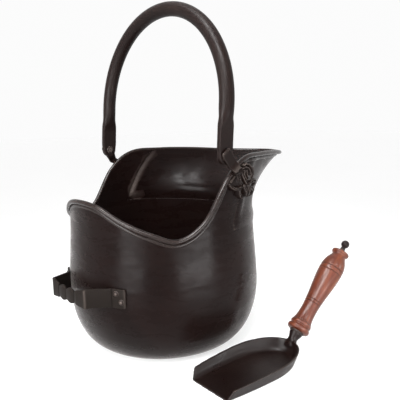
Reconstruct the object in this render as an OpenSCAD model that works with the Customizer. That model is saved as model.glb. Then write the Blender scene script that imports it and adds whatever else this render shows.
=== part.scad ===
// Helmet-shaped coal scuttle with a swinging bail, a rear lifting handle and a hand shovel.
// +X is the pouring lip, +Z is up, +Y is the scuttle's left side. The origin is the middle of
// the bottom plate, on the floor.

/* [Bucket] */
// Largest radius of the belly
belly_r = 145.7; // [142:0.1:148]
// Height of the belly above the floor
belly_z = 90; // [80:1:100]
// How far the belly stands out past the flat bottom
belly_bulge = 49.5; // [40:0.5:55]
// How far the wall draws in from the belly to the neck under the rim
neck_draw_in = 6.3; // [5.5:0.1:8]
// Height at which the wall has drawn in to the neck
neck_z = 208; // [190:1:215]
// Thickness of the sheet steel
sheet_t = 1.5; // [1.2:0.1:2]
// Width of the wall's turned-in foot that rests on the bottom plate
foot_lap = 12; // [8:0.5:16]

/* [Rim and spout] */
// Height of the rim every 15 degrees, from the back round to the lip
rim_heights = [229, 224, 206, 191, 181, 202, 253, 281, 284, 282, 278, 276, 276]; // [175:1:290]
// How far the lip stands forward of the neck
lip_reach = 109.6; // [95:0.1:115]
// Height at which the spout starts to flare
flare_z = 216; // [210:1:225]
// Height at which the flare has its full reach
lip_z = 276; // [270:1:282]
// Curve of the flare from the wall to the lip, 1 is straight
flare_curve = 1.2; // [1:0.05:1.6]
// How quickly the flare fades towards the sides
flare_narrowing = 2.5; // [2:0.1:3]
// Radius of the rolled and wired edge
bead_r = 3.5; // [3:0.1:4]

/* [Bail] */
// Height of the pivot above the floor
pivot_z = 288; // [285:0.5:292]
// Distance of the pivot behind the bucket's axis
pivot_back = 2.5; // [0:0.5:5]
// Distance of each leg's middle outside the neck
bail_stand_off = 1.6; // [1:0.1:3]
// Straight length of a leg above the pivot
bail_leg = 69; // [65:1:75]
// Radius of the bail's tube
bail_bar_r = 9.85; // [9:0.05:10.5]
// Wall of the bail's tube
bail_wall_t = 2; // [1.6:0.1:3]
// Lean of the bail towards the lip, as it stands
bail_lean = 4.3; // [0:0.1:8]
// Width of the bail's flattened ends
bail_end_w = 23; // [20:0.5:24]
// Thickness of the bail's flattened ends
bail_end_t = 7; // [6:0.5:8]
// Radius of the pivot pins
pin_r = 4; // [3.5:0.1:4.5]
// Running clearance around each pin
pin_clearance = 0.05; // [0.02:0.01:0.1]

/* [Ears] */
// Width of an ear's strap
strap_w = 15.5; // [14:0.5:17]
// Thickness of an ear's strap
strap_t = 3; // [2.5:0.1:4]
// Slope of the strap below level
strap_slope = 55; // [52:0.5:58]
// Length of the strap below the pivot, before it folds out
strap_len = 15; // [13:0.5:17]
// How far the fold stands out where the strap crosses the wired edge
strap_rise = 3; // [2:0.1:4]
// Gap between the bail's end and the strap's boss
side_gap = 0.3; // [0.2:0.05:0.5]
// Height of the cast ornament's middle
ornament_z = 256; // [254:0.5:258]
// Angle from the lip to the ornament's middle
ornament_angle = 76; // [74:0.5:78]
// Height of the ornament's leaves and scrolls above the wall
ornament_h = 9; // [7:0.5:11]

/* [Rear handle] */
// Height of the strip that the handle is bent from
strip_h = 26; // [22:1:28]
// Thickness of the strip
strip_t = 3; // [2.5:0.1:3.5]
// Height of the strip's middle above the floor
strip_z = 105.8; // [100:0.1:110]
// Half width of the grip between its corners
grip_half_w = 43.4; // [40:0.2:46]
// Distance of the grip's corners behind the belly
grip_room = 21.6; // [20:0.1:26]
// How far the middle of the grip bows out
grip_bow = 3.9; // [0:0.1:8]
// Angle from the back at which the arms meet the wall
arm_angle = 23.3; // [20:0.1:26]
// Angle from the back at which the tabs end
tab_end_angle = 31.5; // [30:0.1:34]

/* [Shovel] */
// Position of the shovel's front edge, forward of the origin and towards the right
shovel_at = [-78.6, -182]; // [-260:1:260]
// Turn of the shovel from the scuttle's forward direction
shovel_turn = -3.5; // [-10:0.5:10]
// Half width of the shovel's front edge
pan_front_w = 33.5; // [30:0.5:36]
// Half width of the shovel where its back starts to round
pan_back_w = 38.4; // [36:0.1:42]
// Length of the shovel's sides
pan_side_len = 84; // [70:1:95]
// Length of the shovel's rounded back
pan_back_len = 64; // [50:1:70]
// Height of the sides just behind the front edge
pan_front_h = 14.3; // [10:0.1:18]
// Height of the shovel's back
pan_back_h = 20; // [18:0.5:30]
// Outward lean of the shovel's sides
pan_flare = 20; // [10:1:25]
// Thickness of the cast pan
pan_t = 2.6; // [2.2:0.1:3]
// Slope of the shovel's handle
handle_slope = 43.6; // [35:0.1:50]

/* [Hidden] */
$fn = 64;

steel = "#4a4340";
iron = "#3d3836";
wood = "#8c4b37";

neck_r = belly_r - neck_draw_in;
bottom_r = belly_r - belly_bulge;
bottom_plate_r = bottom_r - 0.8 * sheet_t;
shell_z0 = sheet_t;
// Above this height the grid's rows even out towards the rim
even_rows_z = belly_z + 60;
rim_step = 15;
lap_gap = 0.05;
bead_out = 1.6;
tiny = 0.01;

// The seam between the drum and the spout sheet leans back on its way down
seam_column = 80;
seam_lean = 16;
lap_column = 84;
lean_end_column = 126;
seam_row = 0.34;

function lerp(a, b, t) = a + (b - a) * t;
function clamp01(t) = max(0, min(1, t));
function ease(t) = let (c = clamp01(t)) c * c * (3 - 2 * c);
function unit(v) = v / norm(v);
function catmull(p0, p1, p2, p3, t) =
    0.5 * (2 * p1 + (p2 - p0) * t + (2 * p0 - 5 * p1 + 4 * p2 - p3) * t * t
           + (3 * p1 - p0 - 3 * p2 + p3) * t * t * t);

// An angle folded into -180 to 180, with 0 at the lip
function signed_angle(a) = a > 180 ? a - 360 : a;

// ---- The bucket's surface ----

function rim_station(k) =
    let (last = len(rim_heights) - 1)
    rim_heights[k < 0 ? -k : k > last ? 2 * last - k : k];

function rim_z(angle) =
    let (q = (180 - abs(signed_angle(angle))) / rim_step,
         k = min(floor(q), len(rim_heights) - 2))
    catmull(rim_station(k - 1), rim_station(k), rim_station(k + 1), rim_station(k + 2), q - k);

function wall_r(z) =
    z >= belly_z ? lerp(belly_r, neck_r, ease((z - belly_z) / (neck_z - belly_z)))
    : bottom_r + belly_bulge * sqrt(max(0, 1 - pow((belly_z - z) / (belly_z - shell_z0), 2)));

function flare(z) =
    z <= flare_z ? 0 : lip_reach * pow((z - flare_z) / (lip_z - flare_z), flare_curve);

function wall_point(angle, z) =
    [wall_r(z) * cos(angle) + flare(z) * pow(max(0, cos(angle)), flare_narrowing),
     wall_r(z) * sin(angle), z];

// How far a grid column leans towards the lip on its way up to the rim
function column_lean(column) =
    let (c = abs(column))
    seam_lean * (c <= seam_column ? ease(c / seam_column)
                 : ease((lean_end_column - c) / (lean_end_column - seam_column)));

function upper_point(column, f) =
    let (side = column < 0 ? -1 : 1,
         top = column - side * column_lean(column),
         angle = column - side * column_lean(column) * max(0, (f - seam_row) / (1 - seam_row)))
    wall_point(angle, lerp(even_rows_z, rim_z(top), f));

// row 0 to 1 is the flange and the rounded foot, 1 to 2 the belly, 2 to 3 up to the rim
function skin(column, row) =
    row <= 0 ? let (r = bottom_r + row * (foot_lap + bottom_r - bottom_plate_r))
               [r * cos(column), r * sin(column), shell_z0]
    : row <= 1 ? let (r = bottom_r + belly_bulge * sin(90 * row))
                 [r * cos(column), r * sin(column),
                  lerp(shell_z0, belly_z, 1 - cos(90 * row))]
    : row <= 2 ? wall_point(column, lerp(belly_z, even_rows_z, row - 1))
    : upper_point(column, row - 2);

function skin_normal(column, row) =
    let (along = skin(column + 0.5, row) - skin(column - 0.5, row),
         up = skin(column, row + 0.02) - skin(column, row - 0.02))
    unit(cross(along, up));

function offset_skin(column, row, out) =
    skin(column, row) + out * skin_normal(column, row);

half_columns = concat([for (a = [0:6:60]) a], [for (a = [64:4:108]) a],
                      [for (a = [115:8:171]) a], [180]);
rim_rows = 7;
columns = concat(half_columns,
                 [for (k = [len(half_columns) - 2:-1:1]) -half_columns[k]]);
rows = concat([-1], [for (f = [0:1/6:1]) f], [1.5, 2, 2.115, 2.23],
              [for (k = [1:rim_rows]) 2 + lerp(seam_row, 1, (k - 1) / (rim_rows - 1))]);
seam_row_at = len(rows) - rim_rows;

// A sheet with thickness over the grid cells that on() picks; outer() and inner() give its faces
module grid_solid(ni, nj, outer, inner, on) {
    index = function (s, i, j) s * ni * nj + (i % ni) * nj + j;
    active = function (i, j) j >= 0 && j < nj - 1 && on((i + ni) % ni, j);
    points = concat([for (i = [0:ni - 1]) for (j = [0:nj - 1]) outer(i, j)],
                    [for (i = [0:ni - 1]) for (j = [0:nj - 1]) inner(i, j)]);
    cells = [for (i = [0:ni - 1]) for (j = [0:nj - 2]) if (active(i, j)) [i, j]];
    faces = [for (c = cells)
        let (i = c[0], j = c[1],
             a = index(0, i, j), b = index(0, i + 1, j),
             c0 = index(0, i + 1, j + 1), d = index(0, i, j + 1),
             a1 = index(1, i, j), b1 = index(1, i + 1, j),
             c1 = index(1, i + 1, j + 1), d1 = index(1, i, j + 1))
        each concat([[a, d, c0], [a, c0, b], [a1, c1, d1], [a1, b1, c1]],
                    active(i, j - 1) ? [] : [[a, b, b1], [a, b1, a1]],
                    active(i + 1, j) ? [] : [[b, c0, c1], [b, c1, b1]],
                    active(i, j + 1) ? [] : [[c0, d, d1], [c0, d1, c1]],
                    active(i - 1, j) ? [] : [[d, a, a1], [d, a1, d1]])];
    polyhedron(points, faces, convexity = 10);
}

function column_mid(i) =
    let (a = columns[i], b = columns[(i + 1) % len(columns)])
    abs(a) == 180 || abs(b) == 180 ? 178 : (abs(a) + abs(b)) / 2;

function in_lap(i, j) = abs(columns[i]) >= seam_column - tiny || j <= seam_row_at;

// The spout sheet lies outside the drum where the two overlap
function spout_offset(i, j) = in_lap(i, j) ? sheet_t + lap_gap : 0;

module body_shell() {
    color(steel)
        grid_solid(len(columns), len(rows),
            function (i, j) offset_skin(columns[i], rows[j], 0),
            function (i, j) offset_skin(columns[i], rows[j], -sheet_t),
            function (i, j) j < seam_row_at || column_mid(i) > seam_column);
}

module spout_sheet() {
    color(steel)
        grid_solid(len(columns), len(rows),
            function (i, j) offset_skin(columns[i], rows[j], spout_offset(i, j)),
            function (i, j) offset_skin(columns[i], rows[j], spout_offset(i, j) - sheet_t),
            function (i, j) j >= seam_row_at - 1 && column_mid(i) < lap_column);
}

module base_plate() {
    color(steel) cylinder(r = bottom_plate_r, h = shell_z0, $fn = 96);
}

// ---- The wired edge ----

bead_angles = [for (k = [0:119]) 3 * k];
bead_sides = 8;

function bead_centre(angle) =
    let (p = wall_point(signed_angle(angle), rim_z(angle)))
    p + bead_out * [cos(angle), sin(angle), 0];

function bead_ring(angle) =
    let (along = unit(bead_centre(angle + 0.3) - bead_centre(angle - 0.3)),
         out = [cos(angle), sin(angle), 0],
         u = unit(out - (out * along) * along),
         w = cross(along, u))
    [for (s = [0:bead_sides - 1])
        bead_centre(angle)
        + bead_r * (cos(360 * s / bead_sides) * u + sin(360 * s / bead_sides) * w)];

module rim_wire() {
    n = len(bead_angles);
    at = function (i, s) (i % n) * bead_sides + s % bead_sides;
    color(steel)
        polyhedron([for (a = bead_angles) each bead_ring(a)],
            [for (i = [0:n - 1]) for (s = [0:bead_sides - 1])
                each [[at(i, s), at(i + 1, s + 1), at(i, s + 1)],
                      [at(i, s), at(i + 1, s), at(i + 1, s + 1)]]],
            convexity = 10);
}

// ---- The ears and the bail's pivots ----

bail_half_w = neck_r + bail_stand_off;
bail_in = bail_half_w - bail_end_t / 2;
bail_out = bail_half_w + bail_end_t / 2;
strap_in = bail_out + 1;
strap_out = strap_in + strap_t;
strap_end_r = strap_w / 2 + 0.25;
strap_corner_r = 4;
pin_head_r = 7;
pin_head_t = 2.2;

// Puts the pivot's axis at the origin and turns Y to the depth away from the symmetry plane
module at_pivot() {
    translate([-pivot_back, 0, pivot_z]) rotate([90, 0, 0]) children();
}

module ear_strap() {
    at_pivot() {
        translate([0, 0, strap_in]) linear_extrude(strap_t) rotate(-strap_slope) hull() {
            for (side = [-1, 1])
                translate([strap_corner_r - strap_end_r, side * (strap_w / 2 - strap_corner_r)])
                    circle(r = strap_corner_r);
            translate([0, -strap_w / 2]) square([strap_len, strap_w]);
        }
        translate([0, 0, bail_out + side_gap])
            cylinder(r = strap_end_r, h = strap_in - bail_out - side_gap + strap_t / 2);
    }
}

// Where the strap crosses the wired edge, and where its foot stands on the wall
bead_from = strap_len + 9;
bead_to = bead_from + 8.5;
foot_in = neck_r + 0.6;

// The fold and the foot: distance below the pivot, inner face, outer face and width
fold_plates = [
    [strap_len - 3, strap_in + 0.4, strap_out - 0.6, strap_w - 0.7],
    [bead_from, strap_in + 0.8 * strap_rise, strap_out + strap_rise, strap_w - 3.5],
    [bead_from + 3, strap_in + 0.5 * strap_rise, strap_out + 0.9 * strap_rise, strap_w - 3.5],
    [bead_to, strap_in - 0.4, strap_out - 0.5, strap_w - 3.5],
    [bead_to + 2.5, foot_in, strap_out - 1.5, strap_w - 3.5],
    [bead_to + 6.5, foot_in, strap_out - 4, strap_w - 5]];

module ear_fold() {
    last = 4 * (len(fold_plates) - 1);
    corners = [[-1, 1], [1, 1], [1, 2], [-1, 2]];
    at_pivot() rotate(-strap_slope) polyhedron(
        [for (plate = fold_plates) for (c = corners) [plate[0], c[0] * plate[3] / 2, plate[c[1]]]],
        concat([[0, 1, 2, 3], [last + 3, last + 2, last + 1, last]],
               [for (k = [0:4:last - 4]) for (s = [0:3])
                   let (a = k + s, b = k + (s + 1) % 4)
                   each [[a, a + 4, b + 4], [a, b + 4, b]]]),
        convexity = 6);
}

// The ornament is drawn as strokes on the wall. Each point of a stroke is a distance along the
// wall towards the lip, a height above the ornament's middle, a half width and a share of the
// full relief
function arc_stroke(centre, radii, from, to, half_w, share) =
    [for (k = [0:8]) let (a = lerp(from, to, k / 8))
        [centre[0] + radii[0] * cos(a), centre[1] + radii[1] * sin(a), half_w, share]];

function leaf_stroke(root, bend, tip, half_w, share) =
    [[root[0], root[1], half_w, share], [bend[0], bend[1], half_w * 1.1, share],
     [tip[0], tip[1], half_w * 0.35, share * 0.5]];

ornament_strokes = [
    arc_stroke([3, 4], [18, 14.5], 150, -40, 3.6, 0.95),
    arc_stroke([3, 4], [9.5, 8], 120, -60, 2.8, 1.05),
    [[-6, 4, 14, 0.6], [7, 4, 14, 0.6]],
    [[-19, 2, 5, 0.8], [-22, -4, 8, 0.75], [-14, -6, 8, 0.6]],
    arc_stroke([-14, -1], [14.5, 11], -160, -20, 2.8, 0.7),
    [[-16, 2, 6, 0.9], [-8, 6, 6, 1.1]],
    leaf_stroke([2, -4], [-2, -12], [-8, -20], 5, 0.75),
    leaf_stroke([5, -4], [3, -14], [-1, -25], 5, 0.8),
    leaf_stroke([8, -4], [12, -14], [17, -24], 5.5, 0.85),
    leaf_stroke([11, -2], [24, -9], [38, -15], 5.5, 1),
    leaf_stroke([14, 2], [27, -2], [41, -3], 5.5, 1)];

// Height of one length of a stroke above the wall at a place
function ridge_h(place, a, b) =
    let (run = [b[0] - a[0], b[1] - a[1]],
         from_a = [place[0] - a[0], place[1] - a[1]],
         k = clamp01(from_a * run / (run * run)),
         across = norm(from_a - k * run) / lerp(a[2], b[2], k))
    across >= 1 ? 0 : ornament_h * lerp(a[3], b[3], k) * sqrt(1 - across * across);

function relief_h(place) =
    max([for (stroke = ornament_strokes) for (k = [1:len(stroke) - 1])
            ridge_h(place, stroke[k - 1], stroke[k])]);

// The wall's angle at a distance along it, on the right side
arc_per_degree = neck_r * PI / 180;
function ornament_psi(along) = ornament_angle - along / arc_per_degree;

// The grid column through a place on the upper wall, found by stepping towards it
function column_of(psi, z, column, steps = 8) =
    steps == 0 ? column
    : let (lean = column_lean(column),
           f = (z - even_rows_z) / (rim_z(column - lean) - even_rows_z))
      column_of(psi, z, psi + lean * max(0, (f - seam_row) / (1 - seam_row)), steps - 1);

// How far the wall's outer face stands out where the spout sheet laps over the drum
function lap_out(column) =
    (sheet_t + 2 * lap_gap) * (column > lap_column ? clamp01((lap_column + 2.5 - column) / 1.2)
                           : clamp01((column - seam_column + 4.5) / 4));

function on_wall(place, out) =
    let (psi = ornament_psi(place[0]),
         z = ornament_z + place[1],
         along = unit(wall_point(-psi + 0.5, z) - wall_point(-psi - 0.5, z)),
         up = unit(wall_point(-psi, z + 1) - wall_point(-psi, z - 1)))
    wall_point(-psi, z) + (out + lap_out(column_of(psi, z, psi))) * cross(along, up);

ornament_rays = 60;
ornament_rings = 6;
ornament_middle = [3, -1];
ornament_gap = 0.35;
ornament_edge_h = 1.2;

// Room below the middle of the wired edge
bead_room = bead_r + 2;

function ray_place(a, r) = ornament_middle + r * [cos(a), sin(a)];

// The farthest place on the ornament along a ray from its middle
function ray_reach(a) =
    max([for (r = [4:0.8:46]) let (place = ray_place(a, r))
            if (place[1] < rim_z(ornament_psi(place[0])) - bead_room - ornament_z
                && relief_h(place) > 0) r]);

module ear_ornament() {
    n = ornament_rays;
    m = ornament_rings;
    reaches = [for (i = [0:n - 1]) ray_reach(360 * i / n)];
    places = concat([ornament_middle],
        [for (k = [1:m]) for (i = [0:n - 1]) ray_place(360 * i / n, reaches[i] * k / m)]);
    heights = [for (k = [0:len(places) - 1])
        k > (m - 1) * n ? ornament_edge_h : max(ornament_edge_h, relief_h(places[k]))];
    count = len(places);
    at = function (k, i) k == 0 ? 0 : 1 + (k - 1) * n + i % n;
    polyhedron(
        concat([for (k = [0:count - 1]) on_wall(places[k], ornament_gap + heights[k])],
               [for (place = places) on_wall(place, ornament_gap)]),
        [for (i = [0:n - 1]) each concat(
            [[0, at(1, i + 1), at(1, i)], [count, count + at(1, i), count + at(1, i + 1)]],
            [for (k = [1:m - 1])
                let (a = at(k, i), b = at(k, i + 1), c = at(k + 1, i + 1), d = at(k + 1, i))
                each [[a, b, c], [a, c, d],
                      [count + a, count + c, count + b], [count + a, count + d, count + c]]],
            let (a = at(m, i), b = at(m, i + 1))
                [[a, b, count + b], [a, count + b, count + a]])],
        convexity = 10);
}

module ear() {
    color(iron) difference() {
        union() {
            ear_strap();
            ear_fold();
            ear_ornament();
        }
        at_pivot() cylinder(r = pin_r, h = strap_out + strap_rise);
    }
}

module bail_pin() {
    color(iron) at_pivot() {
        translate([0, 0, bail_in - side_gap - pin_head_t])
            cylinder(r = pin_head_r, h = pin_head_t);
        translate([0, 0, bail_in - side_gap - tiny])
            cylinder(r = pin_r, h = strap_out - bail_in + side_gap + tiny);
    }
}

module ear_right() { ear(); }
module ear_left() { mirror([0, 1, 0]) ear(); }
module bail_pin_right() { bail_pin(); }
module bail_pin_left() { mirror([0, 1, 0]) bail_pin(); }

// ---- The bail ----

flat_len = 43;

module bail_leg_end() {
    difference() {
        union() {
            translate([0, 0, -bail_end_t / 2]) {
                cylinder(r = bail_end_w / 2, h = bail_end_t);
                translate([-bail_end_w / 2, 0, 0]) cube([bail_end_w, flat_len, bail_end_t]);
            }
            hull() {
                translate([-bail_end_w / 2, flat_len - 1, -bail_end_t / 2])
                    cube([bail_end_w, 1, bail_end_t]);
                translate([0, bail_leg, 0]) rotate([90, 0, 0])
                    cylinder(r = bail_bar_r, h = 1, $fn = 32);
            }
        }
        translate([0, 0, -bail_end_t]) cylinder(r = pin_r + pin_clearance, h = 2 * bail_end_t);
    }
}

module bail() {
    color(steel) translate([-pivot_back, 0, pivot_z]) rotate([0, bail_lean, 0]) {
        translate([0, 0, bail_leg]) rotate([90, 0, 90]) rotate_extrude(angle = 180)
            translate([bail_half_w, 0]) difference() {
                circle(r = bail_bar_r);
                circle(r = bail_bar_r - bail_wall_t);
            }
        for (side = [-1, 1])
            translate([0, side * bail_half_w, 0]) rotate([90, 0, 0]) bail_leg_end();
    }
}

// ---- The rear handle ----

wave_pitch = 21;
notch_h = 14;
lobe_h = 20.5;
grip_back = belly_r + grip_room;
strip_low = strip_z - strip_h / 2;
strip_high = strip_z + strip_h / 2;

// The tabs lie on the widest part of the wall that the strip's height takes in
tab_wall_r = strip_low <= belly_z && belly_z <= strip_high ? belly_r
             : max(wall_r(strip_low), wall_r(strip_high));
tab_r = tab_wall_r + strip_t / 2;

// The strip's middle line from the middle of the grip to the end of one tab
half_path = concat(
    [[-grip_back - grip_bow, grip_half_w / 2], [-grip_back, grip_half_w]],
    [for (a = [arm_angle:(tab_end_angle - arm_angle) / 6:tab_end_angle + tiny])
        [-tab_r * cos(a), tab_r * sin(a)]]);
strip_path = concat([for (k = [len(half_path) - 1:-1:0]) [half_path[k][0], -half_path[k][1]]],
                    half_path);

function path_normal(path, k) =
    let (last = len(path) - 1,
         before = unit(path[max(1, k)] - path[max(1, k) - 1]),
         after = unit(path[min(last, k + 1)] - path[min(last, k + 1) - 1]),
         n = unit([-(before + after)[1], (before + after)[0]]))
    n / max(0.5, n * [-before[1], before[0]]);

function strip_side(out) =
    [for (k = [0:len(strip_path) - 1]) strip_path[k] + out * path_normal(strip_path, k)];

module strip_plan() {
    inner = strip_side(-strip_t / 2);
    polygon(concat(strip_side(strip_t / 2), [for (k = [len(inner) - 1:-1:0]) inner[k]]));
}

// Half the height of the grip's scalloped edge at a distance from its middle
function grip_edge(y) =
    abs(y) <= wave_pitch
    ? lerp(notch_h, lobe_h, sqrt(abs(sin(180 * y / wave_pitch)))) / 2
    : lerp(notch_h, strip_h + 1, ease((abs(y) - wave_pitch) / (grip_half_w - wave_pitch - 5))) / 2;

module scallops() {
    end = grip_half_w - strip_t;
    depth = grip_bow + 4 * strip_t;
    translate([-grip_back - depth, 0, strip_z]) rotate([90, 0, 90])
        linear_extrude(depth + 2.5 * strip_t)
            for (side = [-1, 1])
                polygon(concat([[-end, side * strip_h]],
                               [for (y = [-end:1.5:end]) [y, side * grip_edge(y)]],
                               [[end, side * strip_h]]));
}

module rear_handle() {
    color(steel) difference() {
        translate([0, 0, strip_low]) linear_extrude(strip_h) strip_plan();
        scallops();
    }
}

// Angle from the back and height above the strip's middle
rivet_places = [[26.1, 6.8], [28.9, -4.5]];
rivet_head_r = 4;
rivet_shank_r = 2.4;
rivet_head_t = 1.5;

// A rivet through the wall and the strip, with a flat head inside and a domed one outside
module wall_rivet(wall) {
    shank_in = wall - sheet_t;
    shank_out = tab_wall_r + strip_t;
    dome_r = 5.1;
    rotate([0, -90, 0]) {
        translate([0, 0, shank_in - rivet_head_t]) cylinder(r = rivet_head_r, h = rivet_head_t);
        translate([0, 0, shank_in - tiny])
            cylinder(r = rivet_shank_r, h = shank_out - shank_in + 2 * tiny);
        translate([0, 0, shank_out]) intersection() {
            cylinder(r = rivet_head_r, h = 2);
            translate([0, 0, -sqrt(dome_r * dome_r - rivet_head_r * rivet_head_r)])
                sphere(r = dome_r);
        }
    }
}

module rear_handle_rivets() {
    color(iron)
        for (side = [-1, 1]) for (place = rivet_places)
            let (z = strip_z + place[1])
                rotate([0, 0, -side * place[0]]) translate([0, 0, z]) wall_rivet(wall_r(z));
}

// ---- The shovel ----

tang_r = 3;
pan_len = pan_side_len + pan_back_len;
front_slant = 8;
pan_block_h = pan_back_h + 10;
collar_reach = 13;
collar_z = 22;
collar_at = [pan_len + collar_reach, collar_z];
neck_pad_z = 13;
neck_waist_r = 6.8;
collar_r = 9.6;
ferrule_t = 2.5;
wood_start = 10;
wood_end = 153;
ball_at = 169.5;
ball_r = 5.2;

module in_shovel() {
    translate([shovel_at[0], shovel_at[1], 0]) rotate([0, 0, shovel_turn]) children();
}

// Z runs up the handle, from the neck to the ball
module on_handle() {
    in_shovel() translate([collar_at[0], 0, collar_at[1]])
        rotate([0, 90 - handle_slope, 0]) children();
}

// One side of the pan's outline on the floor, from the front edge to the middle of the back
side_steps = 6;
back_steps = 10;
pan_outline = concat(
    [for (k = [0:side_steps - 1]) let (t = k / side_steps)
        [pan_side_len * t, lerp(pan_front_w, pan_back_w, 1 - (1 - t) * (1 - t))]],
    [for (k = [0:back_steps]) let (a = 90 * k / back_steps)
        [pan_side_len + pan_back_len * sin(a), pan_back_w * cos(a)]]);
pan_loop = concat(pan_outline,
    [for (k = [len(pan_outline) - 2:-1:0]) [pan_outline[k][0], -pan_outline[k][1]]]);

function pan_h(u) =
    u < front_slant ? lerp(pan_t - 1, pan_front_h, max(0, u) / front_slant)
    : lerp(pan_front_h, pan_back_h, pow((u - front_slant) / (pan_len - front_slant), 0.7));

function loop_normal(k) =
    let (n = len(pan_loop),
         d = unit(pan_loop[min(n - 1, k + 1)] - pan_loop[max(0, k - 1)]))
    [-d[1], d[0]];

// The pan's outline at a height, moved in from its outer face, with its open end moved forward
function pan_ring(z, inset, reach) =
    [for (k = [0:len(pan_loop) - 1])
        let (p = pan_loop[k] + (z * tan(pan_flare) - inset) * loop_normal(k))
        [k == 0 || k == len(pan_loop) - 1 ? p[0] - reach : p[0], p[1], z]];

module pan_block(z0, z1, inset, reach) {
    n = len(pan_loop);
    polyhedron(concat(pan_ring(z0, inset, reach), pan_ring(z1, inset, reach)),
        concat([[for (k = [n - 1:-1:0]) k]], [[for (k = [0:n - 1]) n + k]],
               [for (k = [0:n - 1]) let (m = (k + 1) % n) each [[k, m, n + m], [k, n + m, n + k]]]),
        convexity = 6);
}

// Everything above the sloping top edge of the pan's sides
module above_pan() {
    half_w = pan_back_w + pan_block_h;
    reach = pan_len + pan_block_h;
    stations = concat([0, front_slant], [for (k = [1:12]) lerp(front_slant, reach, k / 12)]);
    rotate([90, 0, 0]) translate([0, 0, -half_w]) linear_extrude(2 * half_w)
        polygon(concat([[-10, 2 * pan_block_h], [-10, pan_h(0)]],
                       [for (u = stations) [u, pan_h(min(u, pan_len))]],
                       [[reach, 2 * pan_block_h]]));
}

module pan_shell() {
    difference() {
        pan_block(0, pan_block_h, 0, 0);
        pan_block(pan_t, pan_block_h + 1, pan_t / cos(pan_flare), 10);
        above_pan();
    }
}

// The neck grows out of the back wall and ends in a collar under the grip
module pan_neck() {
    hull() {
        translate([pan_len + neck_pad_z * tan(pan_flare) - pan_t / 2, 0, neck_pad_z])
            rotate([0, pan_flare, 0]) cube([1.4, 19, 9], center = true);
        translate([collar_at[0], 0, collar_at[1]]) rotate([0, 90 - handle_slope, 0])
            translate([0, 0, -6]) cylinder(r = neck_waist_r + 0.5, h = 2.4, $fn = 24);
    }
}

module pan_collar() {
    rotate_extrude()
        polygon([[0, -4.5], [neck_waist_r - 0.6, -4.5], [collar_r, wood_start - 5],
                 [collar_r, wood_start - ferrule_t], [0, wood_start - ferrule_t]]);
}

module shovel_pan() {
    color(iron) difference() {
        union() {
            in_shovel() {
                pan_shell();
                pan_neck();
            }
            on_handle() pan_collar();
        }
        on_handle() translate([0, 0, -1]) cylinder(r = tang_r, h = wood_start);
    }
}

module shovel_tang() {
    color(iron) on_handle() translate([0, 0, -1]) cylinder(r = tang_r, h = ball_at + 1);
}

module shovel_ferrule() {
    color(iron) on_handle() difference() {
        translate([0, 0, wood_start - ferrule_t]) cylinder(r = 10.5, h = ferrule_t);
        cylinder(r = tang_r, h = 30);
    }
}

// The turned grip: distance up the handle and radius, joined by straight turning marks
grip_profile = [
    [10, 13], [11, 15.2], [13, 16.3], [16, 16.3], [18, 15.4], [19, 14.2],
    [20, 14.4], [21, 15.3], [24, 15.2], [27, 13.9], [33, 12.5], [42, 11.8], [50, 11.7],
    [56.5, 12], [57.5, 11.5], [58.5, 12.2], [61, 12.4], [62, 11.9], [63, 12.6],
    [75, 13.8], [88, 15.5], [100, 16.9], [112.5, 17.7], [113.5, 17], [114.5, 17.8],
    [119.5, 17.9], [120.5, 17.2], [121.5, 17.8], [128, 17.1], [135, 15.2], [141, 12.4],
    [144.5, 10.9], [147, 11.2], [149, 12.9], [151.5, 13.2], [153, 11.5]];

module shovel_grip() {
    color(wood) on_handle() rotate_extrude()
        polygon(concat([[tang_r, wood_start]], [for (p = grip_profile) [p[1], p[0]]],
                       [[tang_r, wood_end]]));
}

module shovel_washer() {
    color(iron) on_handle() rotate_extrude()
        polygon([[tang_r, wood_end], [6.5, wood_end], [6.5, wood_end + 1.2],
                 [4, wood_end + 4], [tang_r, wood_end + 4]]);
}

module shovel_finial() {
    color(iron) on_handle() difference() {
        union() {
            translate([0, 0, ball_at]) sphere(r = ball_r);
            translate([0, 0, wood_end + 4]) cylinder(r = 4, h = ball_at - wood_end - 4);
        }
        translate([0, 0, wood_end]) cylinder(r = tang_r, h = ball_at - wood_end);
    }
}

body_shell();
spout_sheet();
base_plate();
rim_wire();
ear_right();
ear_left();
bail_pin_right();
bail_pin_left();
rear_handle();
rear_handle_rivets();
bail();
shovel_pan();
shovel_tang();
shovel_ferrule();
shovel_grip();
shovel_washer();
shovel_finial();
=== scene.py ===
"""The looks of the coal scuttle: a wired helmet bucket with a bail, a rear handle and a hand shovel.

Lengths in the shape functions are millimetres in the part's frame: +X to the pouring lip, +Z up,
the floor at Z 0. Meshes are turned into metres when they are made. Angles are degrees, counted
round the bucket from the lip. A place on the bucket's sheet is a column, which follows the angle
but leans with the seam, and a row that counts up the wall.
"""
import math

import bmesh
import bpy
import numpy as np
from mathutils import Matrix, Vector, noise


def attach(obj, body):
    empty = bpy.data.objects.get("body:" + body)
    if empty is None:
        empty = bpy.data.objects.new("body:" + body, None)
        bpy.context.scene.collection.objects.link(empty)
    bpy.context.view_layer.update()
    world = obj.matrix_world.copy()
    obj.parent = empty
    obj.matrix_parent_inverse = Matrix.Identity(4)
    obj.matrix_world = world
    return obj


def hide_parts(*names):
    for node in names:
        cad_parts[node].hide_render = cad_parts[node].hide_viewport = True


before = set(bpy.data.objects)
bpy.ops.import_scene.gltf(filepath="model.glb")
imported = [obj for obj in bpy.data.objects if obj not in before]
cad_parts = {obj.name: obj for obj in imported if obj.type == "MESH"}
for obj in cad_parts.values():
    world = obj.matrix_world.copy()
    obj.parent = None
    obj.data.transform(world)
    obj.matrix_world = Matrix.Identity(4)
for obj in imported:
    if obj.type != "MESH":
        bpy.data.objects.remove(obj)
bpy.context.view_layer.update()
MM = 0.001


# ---- Camera: the photograph's viewing angle ----

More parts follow.
